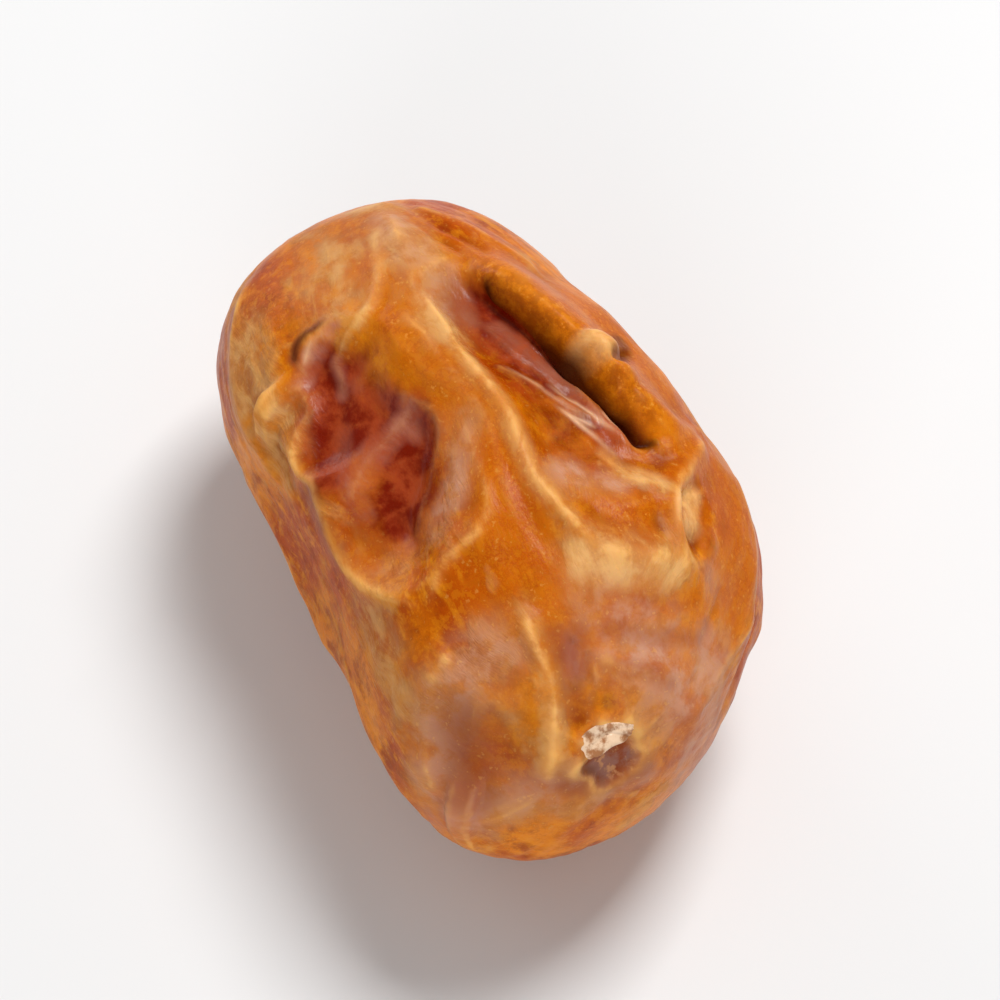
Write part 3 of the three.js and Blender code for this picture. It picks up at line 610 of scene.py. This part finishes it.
def size(name, description, default):
    """A length that a user can change."""
    return FloatProperty(
        name=name, description=description, default=default, min=0, precision=4, unit="LENGTH"
    )


def angle(name, description, degrees):
    """An angle that a user can change."""
    return FloatProperty(name=name, description=description, default=math.radians(degrees), subtype="ANGLE")


def swatch(name, description, tone):
    """A colour that a user can change."""
    screen = colour(*TONES[tone])
    return FloatVectorProperty(
        name=name, description=description, default=screen, size=4, min=0, max=1, subtype="COLOR"
    )


class DateShape(bpy.types.PropertyGroup):
    """Sizes of the fruit and of the flake of stalk on it."""

    length: size("Length", "Length without the folds", 0.040)
    width: size("Width", "Width without the folds", 0.0252)
    height: size("Height", "Height without the folds", 0.0244)
    bend: size("Bend", "How far both ends swing to one side", 0.0013)
    flake_width: size("Stalk width", "Width of the torn flake of stalk", 0.0033)
    flake_height: size("Stalk height", "Height of the torn flake of stalk", 0.0015)


class DateLook(bpy.types.PropertyGroup):
    """The main colours of the skin and the stalk."""

    amber: swatch("Amber", "Light flesh that shows through the skin", "amber")
    umber: swatch("Umber", "Dark flesh that shows through the skin", "umber")
    ruby: swatch("Ruby", "The darkest wet skin in the hollows", "ruby dark")
    cream: swatch("Cream", "Clean dry skin along the crests", "cream")
    stalk: swatch("Stalk", "Bleached fibres of the torn stalk", "stalk light")


class DateStage(bpy.types.PropertyGroup):
    """The camera's place and the strength of the lights."""

    azimuth: angle("Azimuth", "Camera angle round the fruit", 63.7)
    elevation: angle("Elevation", "Camera angle above the floor", 62.0)
    brightness: FloatProperty(
        name="Brightness", description="Strength of all the lights", default=1.0, min=0, subtype="FACTOR"
    )


class Egg:
    """The plain shape of the fruit, in millimetres, before its skin folds."""

    def __init__(self, shape):
        self.half = np.array([shape.length, shape.width, shape.height]) / MM / 2
        self.bend = shape.bend / MM

    def fullness(self, x, y, z):
        """How full the fruit is at stations x, on the sides that y and z point to."""
        t = (np.clip(x / self.half[0], -1, 1) + 1) / 2 * (len(FULLNESS["top"]) - 1)
        across = np.where(y > 0, spline(FULLNESS["right"], t), spline(FULLNESS["left"], t))
        upward = np.where(z > 0, spline(FULLNESS["top"], t), spline(FULLNESS["under"], t))
        return across, upward

    def swing(self, x):
        """How far the bend moves a station sideways."""
        t = x / self.half[0]
        return -self.bend * (t**2 - BEND_CENTRE) - STEM_SKEW * np.maximum(t, 0) ** 3

    def points(self, direction):
        """The surface in directions from its middle."""
        r = np.abs(direction)
        girth = (r[:, 1] ** GIRTH_ROUNDNESS + r[:, 2] ** GIRTH_ROUNDNESS) ** (1 / GIRTH_ROUNDNESS)
        scale = (r[:, 0] ** LONG_ROUNDNESS + girth**LONG_ROUNDNESS) ** (-1 / LONG_ROUNDNESS)
        p = direction * scale[:, None] * self.half
        across, upward = self.fullness(*p.T)
        return np.stack([p[:, 0], p[:, 1] * across + self.swing(p[:, 0]), p[:, 2] * upward], 1)

    def at(self, x, degrees):
        """The surface at stations x and angles round the fruit."""
        s, c = np.sin(np.radians(degrees)), np.cos(np.radians(degrees))
        across, upward = self.fullness(x, s, c)
        girth = (1 - np.abs(x / self.half[0]) ** LONG_ROUNDNESS) ** (1 / LONG_ROUNDNESS)
        wide = np.abs(s / (self.half[1] * across)) ** GIRTH_ROUNDNESS
        high = np.abs(c / (self.half[2] * upward)) ** GIRTH_ROUNDNESS
        reach = girth * (wide + high) ** (-1 / GIRTH_ROUNDNESS)
        return np.stack([x, reach * s + self.swing(x), reach * c], 1)


class Skin:
    """The folds of the skin at points of the egg: heights in millimetres and the masks that colour them."""

    def __init__(self, egg, points):
        self.egg = egg
        self.points = points

    def along(self, path, reach):
        """Distance to a path and the share of its length at the nearest place, for points in its reach."""
        path = np.array(path, float)
        t = np.linspace(0, len(path) - 1, PATH_STEPS * (len(path) - 1) + 1)
        line = self.egg.at(*spline(path, t).T)
        inside = (self.points > line.min(0) - reach) & (self.points < line.max(0) + reach)
        near = np.flatnonzero(np.all(inside, 1))
        p = self.points[near]
        best = np.full(len(p), np.inf)
        share = np.zeros(len(p))
        for n, (a, b) in enumerate(zip(line[:-1], line[1:])):
            step = b - a
            f = np.clip((p - a) @ step / (step @ step), 0, 1)
            far = np.linalg.norm(p - a - f[:, None] * step, axis=1)
            closer = far < best
            best[closer] = far[closer]
            share[closer] = (n + f[closer]) / (len(line) - 1)
        return near, best, share

    def stroke(self, path, reach, sharp, taper=None):
        """1 along a path, falling to 0 at its reach, with a sharp or a broad top and perhaps tapered ends."""
        near, far, share = self.along(path, reach)
        made = np.zeros(len(self.points))
        if sharp:
            made[near] = np.clip(1 - far / reach, 0, 1) ** EDGE_POWER
        else:
            made[near] = np.clip(1 - (far / reach) ** 2, 0, 1) ** FLOOR_POWER
        if taper:
            made[near] *= smooth(share / taper) * smooth((1 - share) / taper)
        return made

    def merged(self, folds, sharp, taper=None):
        """The height of several folds, which run into each other where they meet."""
        heights = [rise * self.stroke(path, reach, sharp, taper) for path, reach, rise in folds]
        return sum(height**MERGE for height in heights) ** (1 / MERGE)

    def rims(self):
        """The pale line along the top of each crest, fainter on a low one."""
        lines = [
            min(rise / FULL_RIM, 1) * self.stroke(path, RIM_REACH, True, TAPER)
            for path, _, rise in CRESTS
        ]
        return np.max(lines, axis=0)


def stem_relief(offset):
    """Heights round the torn pit, with the pit itself and its lip as masks."""
    far = np.linalg.norm(offset, axis=1)
    turn = np.arctan2(offset[:, 1], offset[:, 2])
    up, side = np.cos(turn), np.sin(turn)
    ragged = noise(np.stack([PIT_WAVES * up, PIT_WAVES * side, np.zeros_like(turn)], 1), PIT_SEED)
    rim = PIT_REACH * (1 + PIT_RAGGED * ragged)
    pit = smooth((rim - far) / PIT_WALL)
    lip = np.exp(-(((far - rim - LIP_GAP) / LIP_REACH) ** 2)) * (LIP_EVEN + LIP_RAGGED * ragged)
    lip *= LOW_LIP + (1 - LOW_LIP) * smooth((up - LOW_LIP_START) / LOW_LIP_OVER)
    ring = np.exp(-(((far / PUCKER_REACH - PUCKER_AT) / PUCKER_OVER) ** 2))
    waves = np.stack([PUCKER_WAVES * up, PUCKER_WAVES * side, far / PUCKER_PITCH], 1)
    pucker = ring * stacked(waves, PUCKER_SEED)
    return LIP_RISE * lip - PIT_DEPTH * pit + PUCKER_RISE * pucker, pit, lip


def tip_relief(points):
    """The small dry point at the tip, with puckers round it, and the point alone as a mask."""
    low = points[points[:, 0].argmin()]
    offset = points - low
    far = np.linalg.norm(offset, axis=1)
    turn = np.arctan2(offset[:, 1], offset[:, 2])
    waves = np.sin(TIP_PUCKERS * turn + TIP_PUCKER_TURN)
    pucker = TIP_PUCKER_RISE * waves * np.exp(-((far - TIP_PUCKER_AT) ** 2))
    point = np.exp(-((far / TIP_REACH) ** 2))
    return TIP_RISE * point + pucker, point


def drifts(points, scale, seeds):
    """Smooth shifts of points in three ways."""
    return np.stack([noise(points / scale, seed) for seed in seeds], 1)


def buckles(pattern, unrolled, kind):
    """A pattern on the unrolled skin, as long and as wide as its kind."""
    length, width, seed = kind
    return pattern(unrolled / np.array([length, width, width]), seed)


def wrinkled(shape, points, normals):
    """Moves points of the egg, in millimetres, to the folded skin.

    Returns them with the masks that colour them and with their places on the unrolled skin.
    """
    egg = Egg(shape)
    wander = drifts(points, WANDER_SCALE, WANDER_SEEDS)
    skin = Skin(egg, points + wander * WANDER / 2)
    scar_at = egg.at(np.array([STEM_AT[0]]), np.array([STEM_AT[1]]))[0]
    axis = scar_at * np.clip(points[:, :1] / scar_at[0], 0, 1) ** AXIS_POWER
    leant = (points - axis * [0, 1, 1]) / egg.half
    turn = np.arctan2(leant[:, 1], leant[:, 2])
    lean = np.arctan2(leant[:, 0], np.hypot(leant[:, 1], leant[:, 2]))
    flat = [UNROLLED_LENGTH * lean, UNROLLED_GIRTH * np.sin(turn), UNROLLED_GIRTH * np.cos(turn)]
    fine = drifts(points, FINE_WANDER_SCALE, FINE_WANDER_SEEDS)
    unrolled = np.stack(flat, 1) + wander * WANDER + fine * FINE_WANDER
    middle_share = smooth(END_GAIN * np.cos(lean) - END_START)
    calm = 1 - CALM * smooth((normals @ SMOOTHEST_SIDE - CALM_START) / CALM_OVER)

    swells = buckles(stacked, unrolled, SWELLS)
    cells = buckles(celled, unrolled, CELLS)
    folds = buckles(noise, unrolled, FOLDS)
    ripples = buckles(stacked, unrolled, RIPPLES)
    crests = skin.merged(CRESTS, True, TAPER)
    creases = skin.merged(CREASES, True, TAPER)
    hollows = skin.merged(HOLLOWS, False)
    rolls = skin.merged(ROLLS, False, ROLL_TAPER)
    beads = skin.merged(BEADS, False)
    scar, pit, lip = stem_relief(points - scar_at)
    point, tip = tip_relief(points)

    height = crests - creases - hollows + rolls + beads + scar + point
    height += (SWELL_RISE * swells + CELL_RISE * (cells**2 - CELL_LEVEL)) * middle_share * calm
    height += FOLD_RISE * (1 - 2 * np.abs(folds)) * middle_share * calm
    height += RIPPLE_RISE * ripples * middle_share
    height *= 1 - UNDER_SHARE * smooth((-normals[:, 2] - UNDER_START) / UNDER_OVER)

    path, reach, _ = LONG_ROLL
    overhang = ROLL_LEAN * Skin(egg, points).stroke(path, reach, False, ROLL_TAPER)
    moved = points + normals * height[:, None]
    moved[:, 1] -= overhang * np.abs(normals[:, 2])
    moved[:, 2] += overhang * normals[:, 1]

    masks = {
        "sunken": np.clip((hollows + creases) / FULL_SUNKEN, 0, 1),
        "pit": pit,
        "lip": np.clip(lip, 0, 1),
        "tip": tip,
        "glint": np.clip(skin.merged(GLINTS, True, GLINT_TAPER), 0, 1),
        "rim": skin.rims(),
        "end": smooth((np.abs(lean) - END_FROM) / END_OVER),
    }
    for name, patches in PATCHES.items():
        strengths = [strength * skin.stroke(path, reach, False) for path, reach, strength in patches]
        masks[name] = np.max(strengths, axis=0)
    return moved, masks, unrolled


def values_of(items, name, width=3):
    """One value of every item, such as the place of each vertex, as the rows of an array."""
    flat = np.empty(len(items) * width)
    items.foreach_get(name, flat)
    return flat.reshape(-1, width) if width > 1 else flat


def curvature(mesh, rounds):
    """How strongly the skin bulges at each vertex, one over millimetres, evened out over some rounds."""
    count = len(mesh.vertices)
    places = values_of(mesh.vertices, "co") / MM
    normals = values_of(mesh.vertices, "normal")
    start, stop = values_of(mesh.edges, "vertices", 2).astype(int).T
    degree = np.bincount(start, minlength=count) + np.bincount(stop, minlength=count)

    def gathered(values):
        """The sum of each vertex's neighbours."""
        return np.bincount(start, values[stop], count) + np.bincount(stop, values[start], count)

    pull = np.stack([gathered(axis) / degree - axis for axis in places.T], 1)
    length = np.linalg.norm(places[start] - places[stop], axis=1)
    spacing = (np.bincount(start, length, count) + np.bincount(stop, length, count)) / degree
    bulge = -2 * np.sum(pull * normals, 1) / spacing**2
    for _ in range(rounds):
        bulge = (bulge + gathered(bulge) / degree) / 2
    return bulge


def deselect():
    """Leaves nothing selected and no piece active."""
    bpy.ops.object.select_all(action="DESELECT")
    bpy.context.view_layer.objects.active = None


def cut_cube(name, splits):
    """A finely cut cube at the origin, and the directions of its vertices, evenly spread over a ball."""
    deselect()
    bpy.ops.mesh.primitive_cube_add(size=2)
    piece = bpy.context.object
    piece.name = name
    fine = piece.modifiers.new("fine", "SUBSURF")
    fine.subdivision_type = "SIMPLE"
    fine.levels = fine.render_levels = splits
    bpy.ops.object.modifier_apply(modifier=fine.name)
    cube = np.tan(values_of(piece.data.vertices, "co") * math.pi / 4)
    return piece, cube / np.linalg.norm(cube, axis=1)[:, None]


def shaped(mesh, points):
    """Moves a mesh's vertices to points, in millimetres."""
    mesh.vertices.foreach_set("co", (points * MM).ravel())
    mesh.update()


def finished(piece, material):
    """Gives a shaped piece its smooth shading, its material and its place in the frame."""
    bpy.ops.object.shade_smooth()
    piece.data.materials.clear()
    piece.data.materials.append(material)
    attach(piece, "root")


class DATE_OT_skin(bpy.types.Operator):
    """Model the whole skin of the fruit as one closed mesh"""

    bl_idname = "date.skin"
    bl_label = "Skin"

    def execute(self, context):
        shape = context.scene.date_shape
        skin, direction = cut_cube("skin", SKIN_SPLITS)
        mesh = skin.data
        points = Egg(shape).points(direction)
        shaped(mesh, points)
        moved, masks, unrolled = wrinkled(shape, points, values_of(mesh.vertices, "normal"))
        # pressed flat where it rests, and set over the middle of the frame
        floor = moved[:, 2].min() + REST_DEPTH
        moved[:, 2] = np.maximum(moved[:, 2], floor)
        middle = (moved.min(0) + moved.max(0)) / 2
        shaped(mesh, moved - [middle[0], middle[1], floor])
        masks["edge"] = curvature(mesh, EDGE_ROUNDS)
        masks["bulge"] = curvature(mesh, BULGE_ROUNDS)
        for name, values in masks.items():
            layer = mesh.attributes.new(name, "FLOAT", "POINT")
            layer.data.foreach_set("value", values.astype(np.float32))
        layer = mesh.attributes.new("grain", "FLOAT_VECTOR", "POINT")
        layer.data.foreach_set("vector", unrolled.astype(np.float32).ravel())
        finished(skin, skin_material(context.scene.date_look))
        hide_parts(NODE)
        return {"FINISHED"}


class DATE_OT_scar(bpy.types.Operator):
    """Model the dry flake of stalk left over the torn pit"""

    bl_idname = "date.scar"
    bl_label = "Stem scar"

    def execute(self, context):
        shape = context.scene.date_shape
        skin = bpy.data.objects["skin"]
        # the middle of the pit's rim, the way out of it, and up and sideways along it
        lip, pit = (values_of(skin.data.attributes[name].data, "value", 1) for name in ("lip", "pit"))
        rim = (lip > RIM_LEVEL) & (pit < RIM_LEVEL)
        centre = values_of(skin.data.vertices, "co")[rim].mean(0) / MM
        out = values_of(skin.data.vertices, "normal")[rim].mean(0)
        out /= np.linalg.norm(out)
        up = np.array([0, 0, 1.0]) - out * out[2]
        up /= np.linalg.norm(up)
        side = np.cross(up, out)

        # a flat, ragged oval
        flake, ball = cut_cube("scar_flake", FLAKE_SPLITS)
        turn = np.arctan2(ball[:, 0], ball[:, 1])
        ring = np.stack([np.cos(turn), np.sin(turn), np.zeros_like(turn)], 1)
        ragged = 1
        for share, waves, shift, seed in FLAKE_RAGGED:
            ragged = ragged + share * noise(waves * ring + shift, seed)
        across = shape.flake_width / MM / 2 * ball[:, 0] * ragged
        rise = shape.flake_height / MM / 2 * ball[:, 1] * ragged * (1 - FLAKE_TAPER * ball[:, 0])
        rise += FLAKE_TILT * across - FLAKE_ARCH * across**2
        rise += FLAKE_NOTCH * noise(np.stack([across, ring[:, 0], ring[:, 0]], 1), NOTCH_SEED)
        # its thickness, its curled lower edge, its fibres and its warp
        fibres = np.stack([across * FIBRES[0], rise * FIBRES[1], ball[:, 2]], 1)
        lift = FLAKE_THICKNESS / 2 * ball[:, 2] + FLAKE_CURL * smooth((CURL_START - ball[:, 1]) / CURL_OVER)
        lift += FIBRE_RISE * stacked(fibres, FIBRE_SEED)
        lift += WARP_RISE * noise(np.stack([across, rise, rise], 1) / WARP_SCALE, WARP_SEED)
        flat = centre + np.outer(across, side) + np.outer(rise + FLAKE_SHIFT, up)
        # laid on the skin, with no deep sag where the pit lies under it
        tree = BVHTree.FromObject(skin, context.evaluated_depsgraph_get())
        ground = np.array([self.ground(tree, spot, out) for spot in flat])
        lift += np.maximum(ground, -FLAKE_SAG)
        shaped(flake.data, flat + np.outer(lift, out))
        finished(flake, scar_material(context.scene.date_look))
        return {"FINISHED"}

    @staticmethod
    def ground(tree, spot, out):
        """Height of the skin over a spot, along the way out, in millimetres."""
        start = spot + out * DROP
        hit = tree.ray_cast(Vector(start * MM), Vector(-out))
        if hit[3] is None:
            raise RuntimeError("The flake of stalk misses the skin")
        return DROP - hit[3] / MM


class Value:
    """A number in a shader, which can be written as Python maths."""

    def __init__(self, shader, socket):
        self.shader = shader
        self.socket = socket

    def __add__(self, other):
        return self.shader.maths("ADD", self, other)

    def __radd__(self, other):
        return self.shader.maths("ADD", other, self)

    def __sub__(self, other):
        return self.shader.maths("SUBTRACT", self, other)

    def __rsub__(self, other):
        return self.shader.maths("SUBTRACT", other, self)

    def __mul__(self, other):
        return self.shader.maths("MULTIPLY", self, other)

    def __rmul__(self, other):
        return self.shader.maths("MULTIPLY", other, self)

    def clamped(self):
        """The number, held between 0 and 1."""
        return self.shader.maths("ADD", self, 0.0, clamp=True)


class Shader:
    """A material whose nodes are written as expressions."""

    def __init__(self, name):
        self.material = bpy.data.materials.new(name)
        self.material.use_nodes = True
        self.tree = self.material.node_tree
        self.tree.nodes.clear()

    def node(self, kind, settings, inputs, output=0):
        """A node of one kind, with its settings and the values or links of its sockets."""
        made = self.tree.nodes.new(kind)
        for name, setting in settings.items():
            setattr(made, name, setting)
        for name, value in inputs.items():
            if isinstance(value, Value):
                self.tree.links.new(value.socket, made.inputs[name])
            else:
                made.inputs[name].default_value = value
        return Value(self, made.outputs[output]) if made.outputs else None

    def maths(self, operation, *values, clamp=False):
        """What an operation makes of numbers, held between 0 and 1 or not."""
        settings = {"operation": operation, "use_clamp": clamp}
        return self.node("ShaderNodeMath", settings, dict(enumerate(values)))

    def mask(self, name):
        """A mask that the mesh carries."""
        return self.node("ShaderNodeAttribute", {"attribute_name": name}, {}, "Fac")

    def mix(self, a, b, share):
        """Colour a turning to colour b. Either may be the name of a tone."""
        a, b = (colour(*TONES[tone]) if isinstance(tone, str) else tone for tone in (a, b))
        return self.node("ShaderNodeMix", {"data_type": "RGBA"}, {0: share, 6: a, 7: b}, 2)

    def noise(self, place, kind):
        """Soft noise round 0.5, of one of the kinds in NOISES."""
        inputs = dict(zip(("Scale", "Detail", "Roughness", "Distortion"), NOISES[kind]))
        return self.node("ShaderNodeTexNoise", {}, {"Vector": place, **inputs})

    def surface(self, inputs):
        """Ends the material with one principled surface and returns the material."""
        made = self.node("ShaderNodeBsdfPrincipled", {}, inputs)
        self.node("ShaderNodeOutputMaterial", {}, {"Surface": made})
        return self.material

    def between(self, value, low, high):
        """0 at low, 1 at high."""
        inputs = {"Value": value, "From Min": low, "From Max": high}
        return self.node("ShaderNodeMapRange", {"interpolation_type": "SMOOTHSTEP"}, inputs)


def skin_material(look):
    """Thin waxy skin: amber flesh showing through, wet red-brown hollows and dry cream crests, with painted
    shade in the dips and creases, and painted highlights, reflections and glow.
    """
    shader = Shader("date_skin")
    mask, mix, between = shader.mask, shader.mix, shader.between
    place = shader.node("ShaderNodeTexCoord", {}, {}, "Object")
    grain = shader.node("ShaderNodeAttribute", {"attribute_name": "grain"}, {}, "Vector")
    along = shader.node("ShaderNodeMapping", {}, {"Vector": grain, "Scale": STREAK_SCALE})
    stretched = shader.node("ShaderNodeMapping", {}, {"Vector": grain, "Scale": CRINKLE_SCALE})
    broad, mottle, fleck, speckle, pores, shreds = (
        shader.noise(place, kind) for kind in ("broad", "mottle", "fleck", "speckle", "pores", "shreds")
    )

    # streaks run along the fruit and turn to even spots at its ends
    end = mask("end")
    even = shader.noise(place, "even")
    streak = shader.noise(along, "streak")
    streak = streak + (even - streak) * end
    sheet = shader.noise(along, "sheet")
    sheet = sheet + (even - sheet) * end
    crinkle = shader.noise(stretched, "crinkle")
    crinkle = (1.0 - (shader.maths("ABSOLUTE", crinkle - 0.5) * 6.0).clamped()) * (1.0 - end)

    # how strongly each kind of skin shows
    patchy = between(mottle + streak, 0.8, 1.2)
    ruby = (mask("ruby") * (0.75 + 0.8 * mottle)).clamped()
    amber = (mask("amber") * (0.7 + 0.5 * mottle)).clamped()
    mild = (1.0 - 0.9 * ruby) * (1.0 - mask("mauve")) * (1.0 - mask("crease_shade"))
    edge = between(mask("edge"), 0.22, 1.0) * mild * (1.0 - 0.5 * amber)
    # golden skin on the broad bulges, partly painted light that brings out the relief
    swell_highlight = between(mask("bulge"), 0.1, 0.55) * mild
    # painted shade: darker where the skin curves inward, where shade gathers
    dip_shade = between(mask("bulge"), 0.02, -0.35)
    # the beige of dry skin, with the lilac of the painted sheen
    dry = (mask("beige") + mask("lilac") - 0.4 * mask("amber")).clamped()
    loose = between(sheet + 0.1 * mask("bulge") + 0.14 * dry + 0.06 * mottle, 0.58, 0.69)
    loose = loose * mild * (1.0 - 0.8 * amber)
    beige = (mask("beige") * (0.4 + 0.8 * patchy)).clamped() * (1.0 - 0.6 * amber)
    # painted sheen: the reflection of the bright surroundings, as pale lilac
    lilac = (mask("lilac") * (0.5 + 0.6 * between(mottle, 0.38, 0.6))).clamped() * (1.0 - 0.7 * amber)
    # mostly painted reflection on the wet skin of the hollows
    mauve = (mask("mauve") * (0.3 + 0.9 * between(mottle + 0.5 * streak, 0.6, 0.9))).clamped()
    cream = (mask("cream") * (0.5 + 0.6 * patchy)).clamped()
    # dusky skin, and painted shade in some narrow places
    dusk_and_shade = (mask("dusk_and_shade") * (0.6 + 0.7 * mottle)).clamped() * 0.9
    rim = (mask("rim") * (0.2 + 0.8 * patchy)).clamped() * 0.6

    # the colours that lie over each other, the lowest first, with the share that each covers
    pit = mix("pit orange", "pit violet", between(mottle, 0.42, 0.58))
    pit = mix(pit, "pit fibre", between(shreds, 0.52, 0.64) * 0.8)
    layers = (
        # flesh that shows through tight skin
        ("russet", between(mottle, 0.5, 0.66) * 0.6),
        ("honey", between(streak, 0.52, 0.66) * 0.5),
        (mix("tight dark", "tight light", between(fleck, 0.44, 0.58)), amber),
        # painted shade in the concave places
        ("dip_shade", dip_shade * 0.9),
        # loose and dry skin
        (mix("loose dark", "loose light", between(mottle, 0.4, 0.6)), loose * 0.55),
        ("fleck dark", between(fleck, 0.5, 0.6) * 0.22),
        ("fleck light", between(fleck, 0.49, 0.4) * 0.25),
        (mix("beige dark", "beige light", beige), beige),
        # wet skin in the hollows, painted reflections on it, and dusky skin with painted shade
        (mix("ruby light", tuple(look.ruby), between(mottle, 0.38, 0.6)), ruby),
        (mix("lilac dark", "lilac light", lilac), lilac),
        ("mauve", mauve * 0.8),
        ("dusk_and_shade", dusk_and_shade),
        # raised places, where the skin is pale, with painted light on the broad bulges and the roll's wall,
        # painted glints, and painted shade in the creases
        ("swell_highlight", swell_highlight * (0.2 + 0.4 * patchy)),
        ("edge", (edge * (0.1 + 0.5 * patchy)).clamped()),
        # painted light on the shaded wall of the roll
        (mix("wall dark", "wall light", between(fleck, 0.36, 0.62)), mask("glow") * 0.85),
        (tuple(look.cream), cream),
        ("rim", rim),
        # painted highlights along the wet skin
        ("glint", mask("glint") * 0.8),
        ("speck", between(speckle, 0.62, 0.72) * 0.2 * mild),
        # painted shade, almost black, in the depth of the slit and the other narrow folds
        ("crease_shade", (mask("crease_shade") * 1.3).clamped() * 0.94),
        # the torn pit, its lip and the dry tip
        (pit, mask("pit") * 0.85),
        ("lip", (mask("lip") * (0.1 + 0.7 * streak)).clamped()),
        ("tip", mask("tip") * 0.7),
    )
    tone = mix(tuple(look.umber), tuple(look.amber), between(broad, 0.36, 0.62))
    for paint, share in layers:
        tone = mix(tone, paint, share)

    rough = 0.33 - 0.1 * mask("sunken") + 0.12 * loose + 0.1 * edge + 0.3 * (mottle - 0.5) + 0.3 * mask("pit")
    wet = (0.02 + 0.1 * lilac + 0.06 * ruby + 0.14 * mauve).clamped()
    relief = pores * 0.15 + crinkle * (0.04 + 0.1 * loose) + loose * 0.25 + mottle * 0.4
    bump = shader.node("ShaderNodeBump", {}, {"Height": relief, **SKIN_BUMP})
    inputs = {"Base Color": tone, "Roughness": rough, "Coat Weight": wet, "Normal": bump}
    return shader.surface({**inputs, **SKIN_FINISH})


def scar_material(look):
    """Dry, fibrous stalk, torn and bleached."""
    shader = Shader("date_scar")
    place = shader.node("ShaderNodeTexCoord", {}, {}, "Object")
    fibre = shader.noise(place, "fibre")
    tone = shader.mix("stalk dark", tuple(look.stalk), shader.between(fibre, 0.38, 0.56))
    bump = shader.node("ShaderNodeBump", {}, {"Height": fibre, **SCAR_BUMP})
    return shader.surface({"Base Color": tone, "Roughness": SCAR_ROUGHNESS, "Normal": bump})


def floor_material():
    """Plain pale paper."""
    shader = Shader("floor")
    tone = (FLOOR_TONE, FLOOR_TONE, FLOOR_TONE, 1.0)
    return shader.surface({"Base Color": tone, "Roughness": FLOOR_ROUGHNESS})


class DATE_OT_stage(bpy.types.Operator):
    """Set up the pale floor, the soft lights and the camera"""

    bl_idname = "date.stage"
    bl_label = "Stage"

    def execute(self, context):
        stage = context.scene.date_stage
        deselect()
        bpy.ops.mesh.primitive_circle_add(vertices=FLOOR_SIDES, radius=FLOOR_RADIUS, fill_type="NGON")
        floor = context.object
        floor.name = "floor"
        floor.data.materials.append(floor_material())
        low, high = CAD_BOX
        target = (low + high) / 2
        level = math.cos(stage.elevation)
        sine, cosine = math.sin(stage.azimuth), math.cos(stage.azimuth)
        back = Vector((sine * level, -cosine * level, math.sin(stage.elevation)))
        right = Vector((cosine, sine, 0))
        up = back.cross(right)
        for name, side, rise, near, width, power in LIGHTS:
            spot = target + right * side + up * rise + back * near
            bpy.ops.object.light_add(type="AREA", location=spot)
            light = context.object
            light.name = name
            light.data.size = width
            light.data.energy = power * stage.brightness
            light.rotation_mode = "QUATERNION"
            light.rotation_quaternion = (spot - target).to_track_quat("Z", "Y")
        bpy.ops.object.camera_add(location=target + back * CAMERA_REACH)
        camera = context.object
        camera.data.lens = CAMERA_LENS
        camera.data.clip_start = CAMERA_CLIP
        camera.rotation_mode = "QUATERNION"
        camera.rotation_quaternion = back.to_track_quat("Z", "Y")
        context.scene.camera = camera
        world = bpy.data.worlds.new("studio")
        world.use_nodes = True
        background = world.node_tree.nodes["Background"]
        background.inputs["Color"].default_value = (1, 1, 1, 1)
        background.inputs["Strength"].default_value = WORLD_LIGHT
        context.scene.world = world
        context.scene.view_settings.view_transform = "Standard"
        return {"FINISHED"}


class DATE_PT_steps(bpy.types.Panel):
    """The sizes and colours of the fruit, and the steps that build it"""

    bl_idname = "DATE_PT_steps"
    bl_label = "Sukkari date"
    bl_space_type = "VIEW_3D"
    bl_region_type = "UI"
    bl_category = "Date"

    def draw(self, context):
        scene = context.scene
        for group in (scene.date_shape, scene.date_look, scene.date_stage):
            for name in group.__annotations__:
                self.layout.prop(group, name)
        for step in STEPS:
            self.layout.operator(step.bl_idname)


STEPS = (DATE_OT_skin, DATE_OT_scar, DATE_OT_stage)
CLASSES = (DateShape, DateLook, DateStage, *STEPS, DATE_PT_steps)


def register():
    """Adds the classes to Blender and their settings to its scenes."""
    for kind in CLASSES:
        bpy.utils.register_class(kind)
    bpy.types.Scene.date_shape = PointerProperty(type=DateShape)
    bpy.types.Scene.date_look = PointerProperty(type=DateLook)
    bpy.types.Scene.date_stage = PointerProperty(type=DateStage)


def unregister():
    """Takes out what register adds."""
    del bpy.types.Scene.date_stage
    del bpy.types.Scene.date_look
    del bpy.types.Scene.date_shape
    for kind in reversed(CLASSES):
        bpy.utils.unregister_class(kind)


def main():
    """Builds the dressed fruit and its stage."""
    register()
    bpy.ops.date.skin()
    bpy.ops.date.scar()
    bpy.ops.date.stage()


if __name__ == "__main__":
    main()
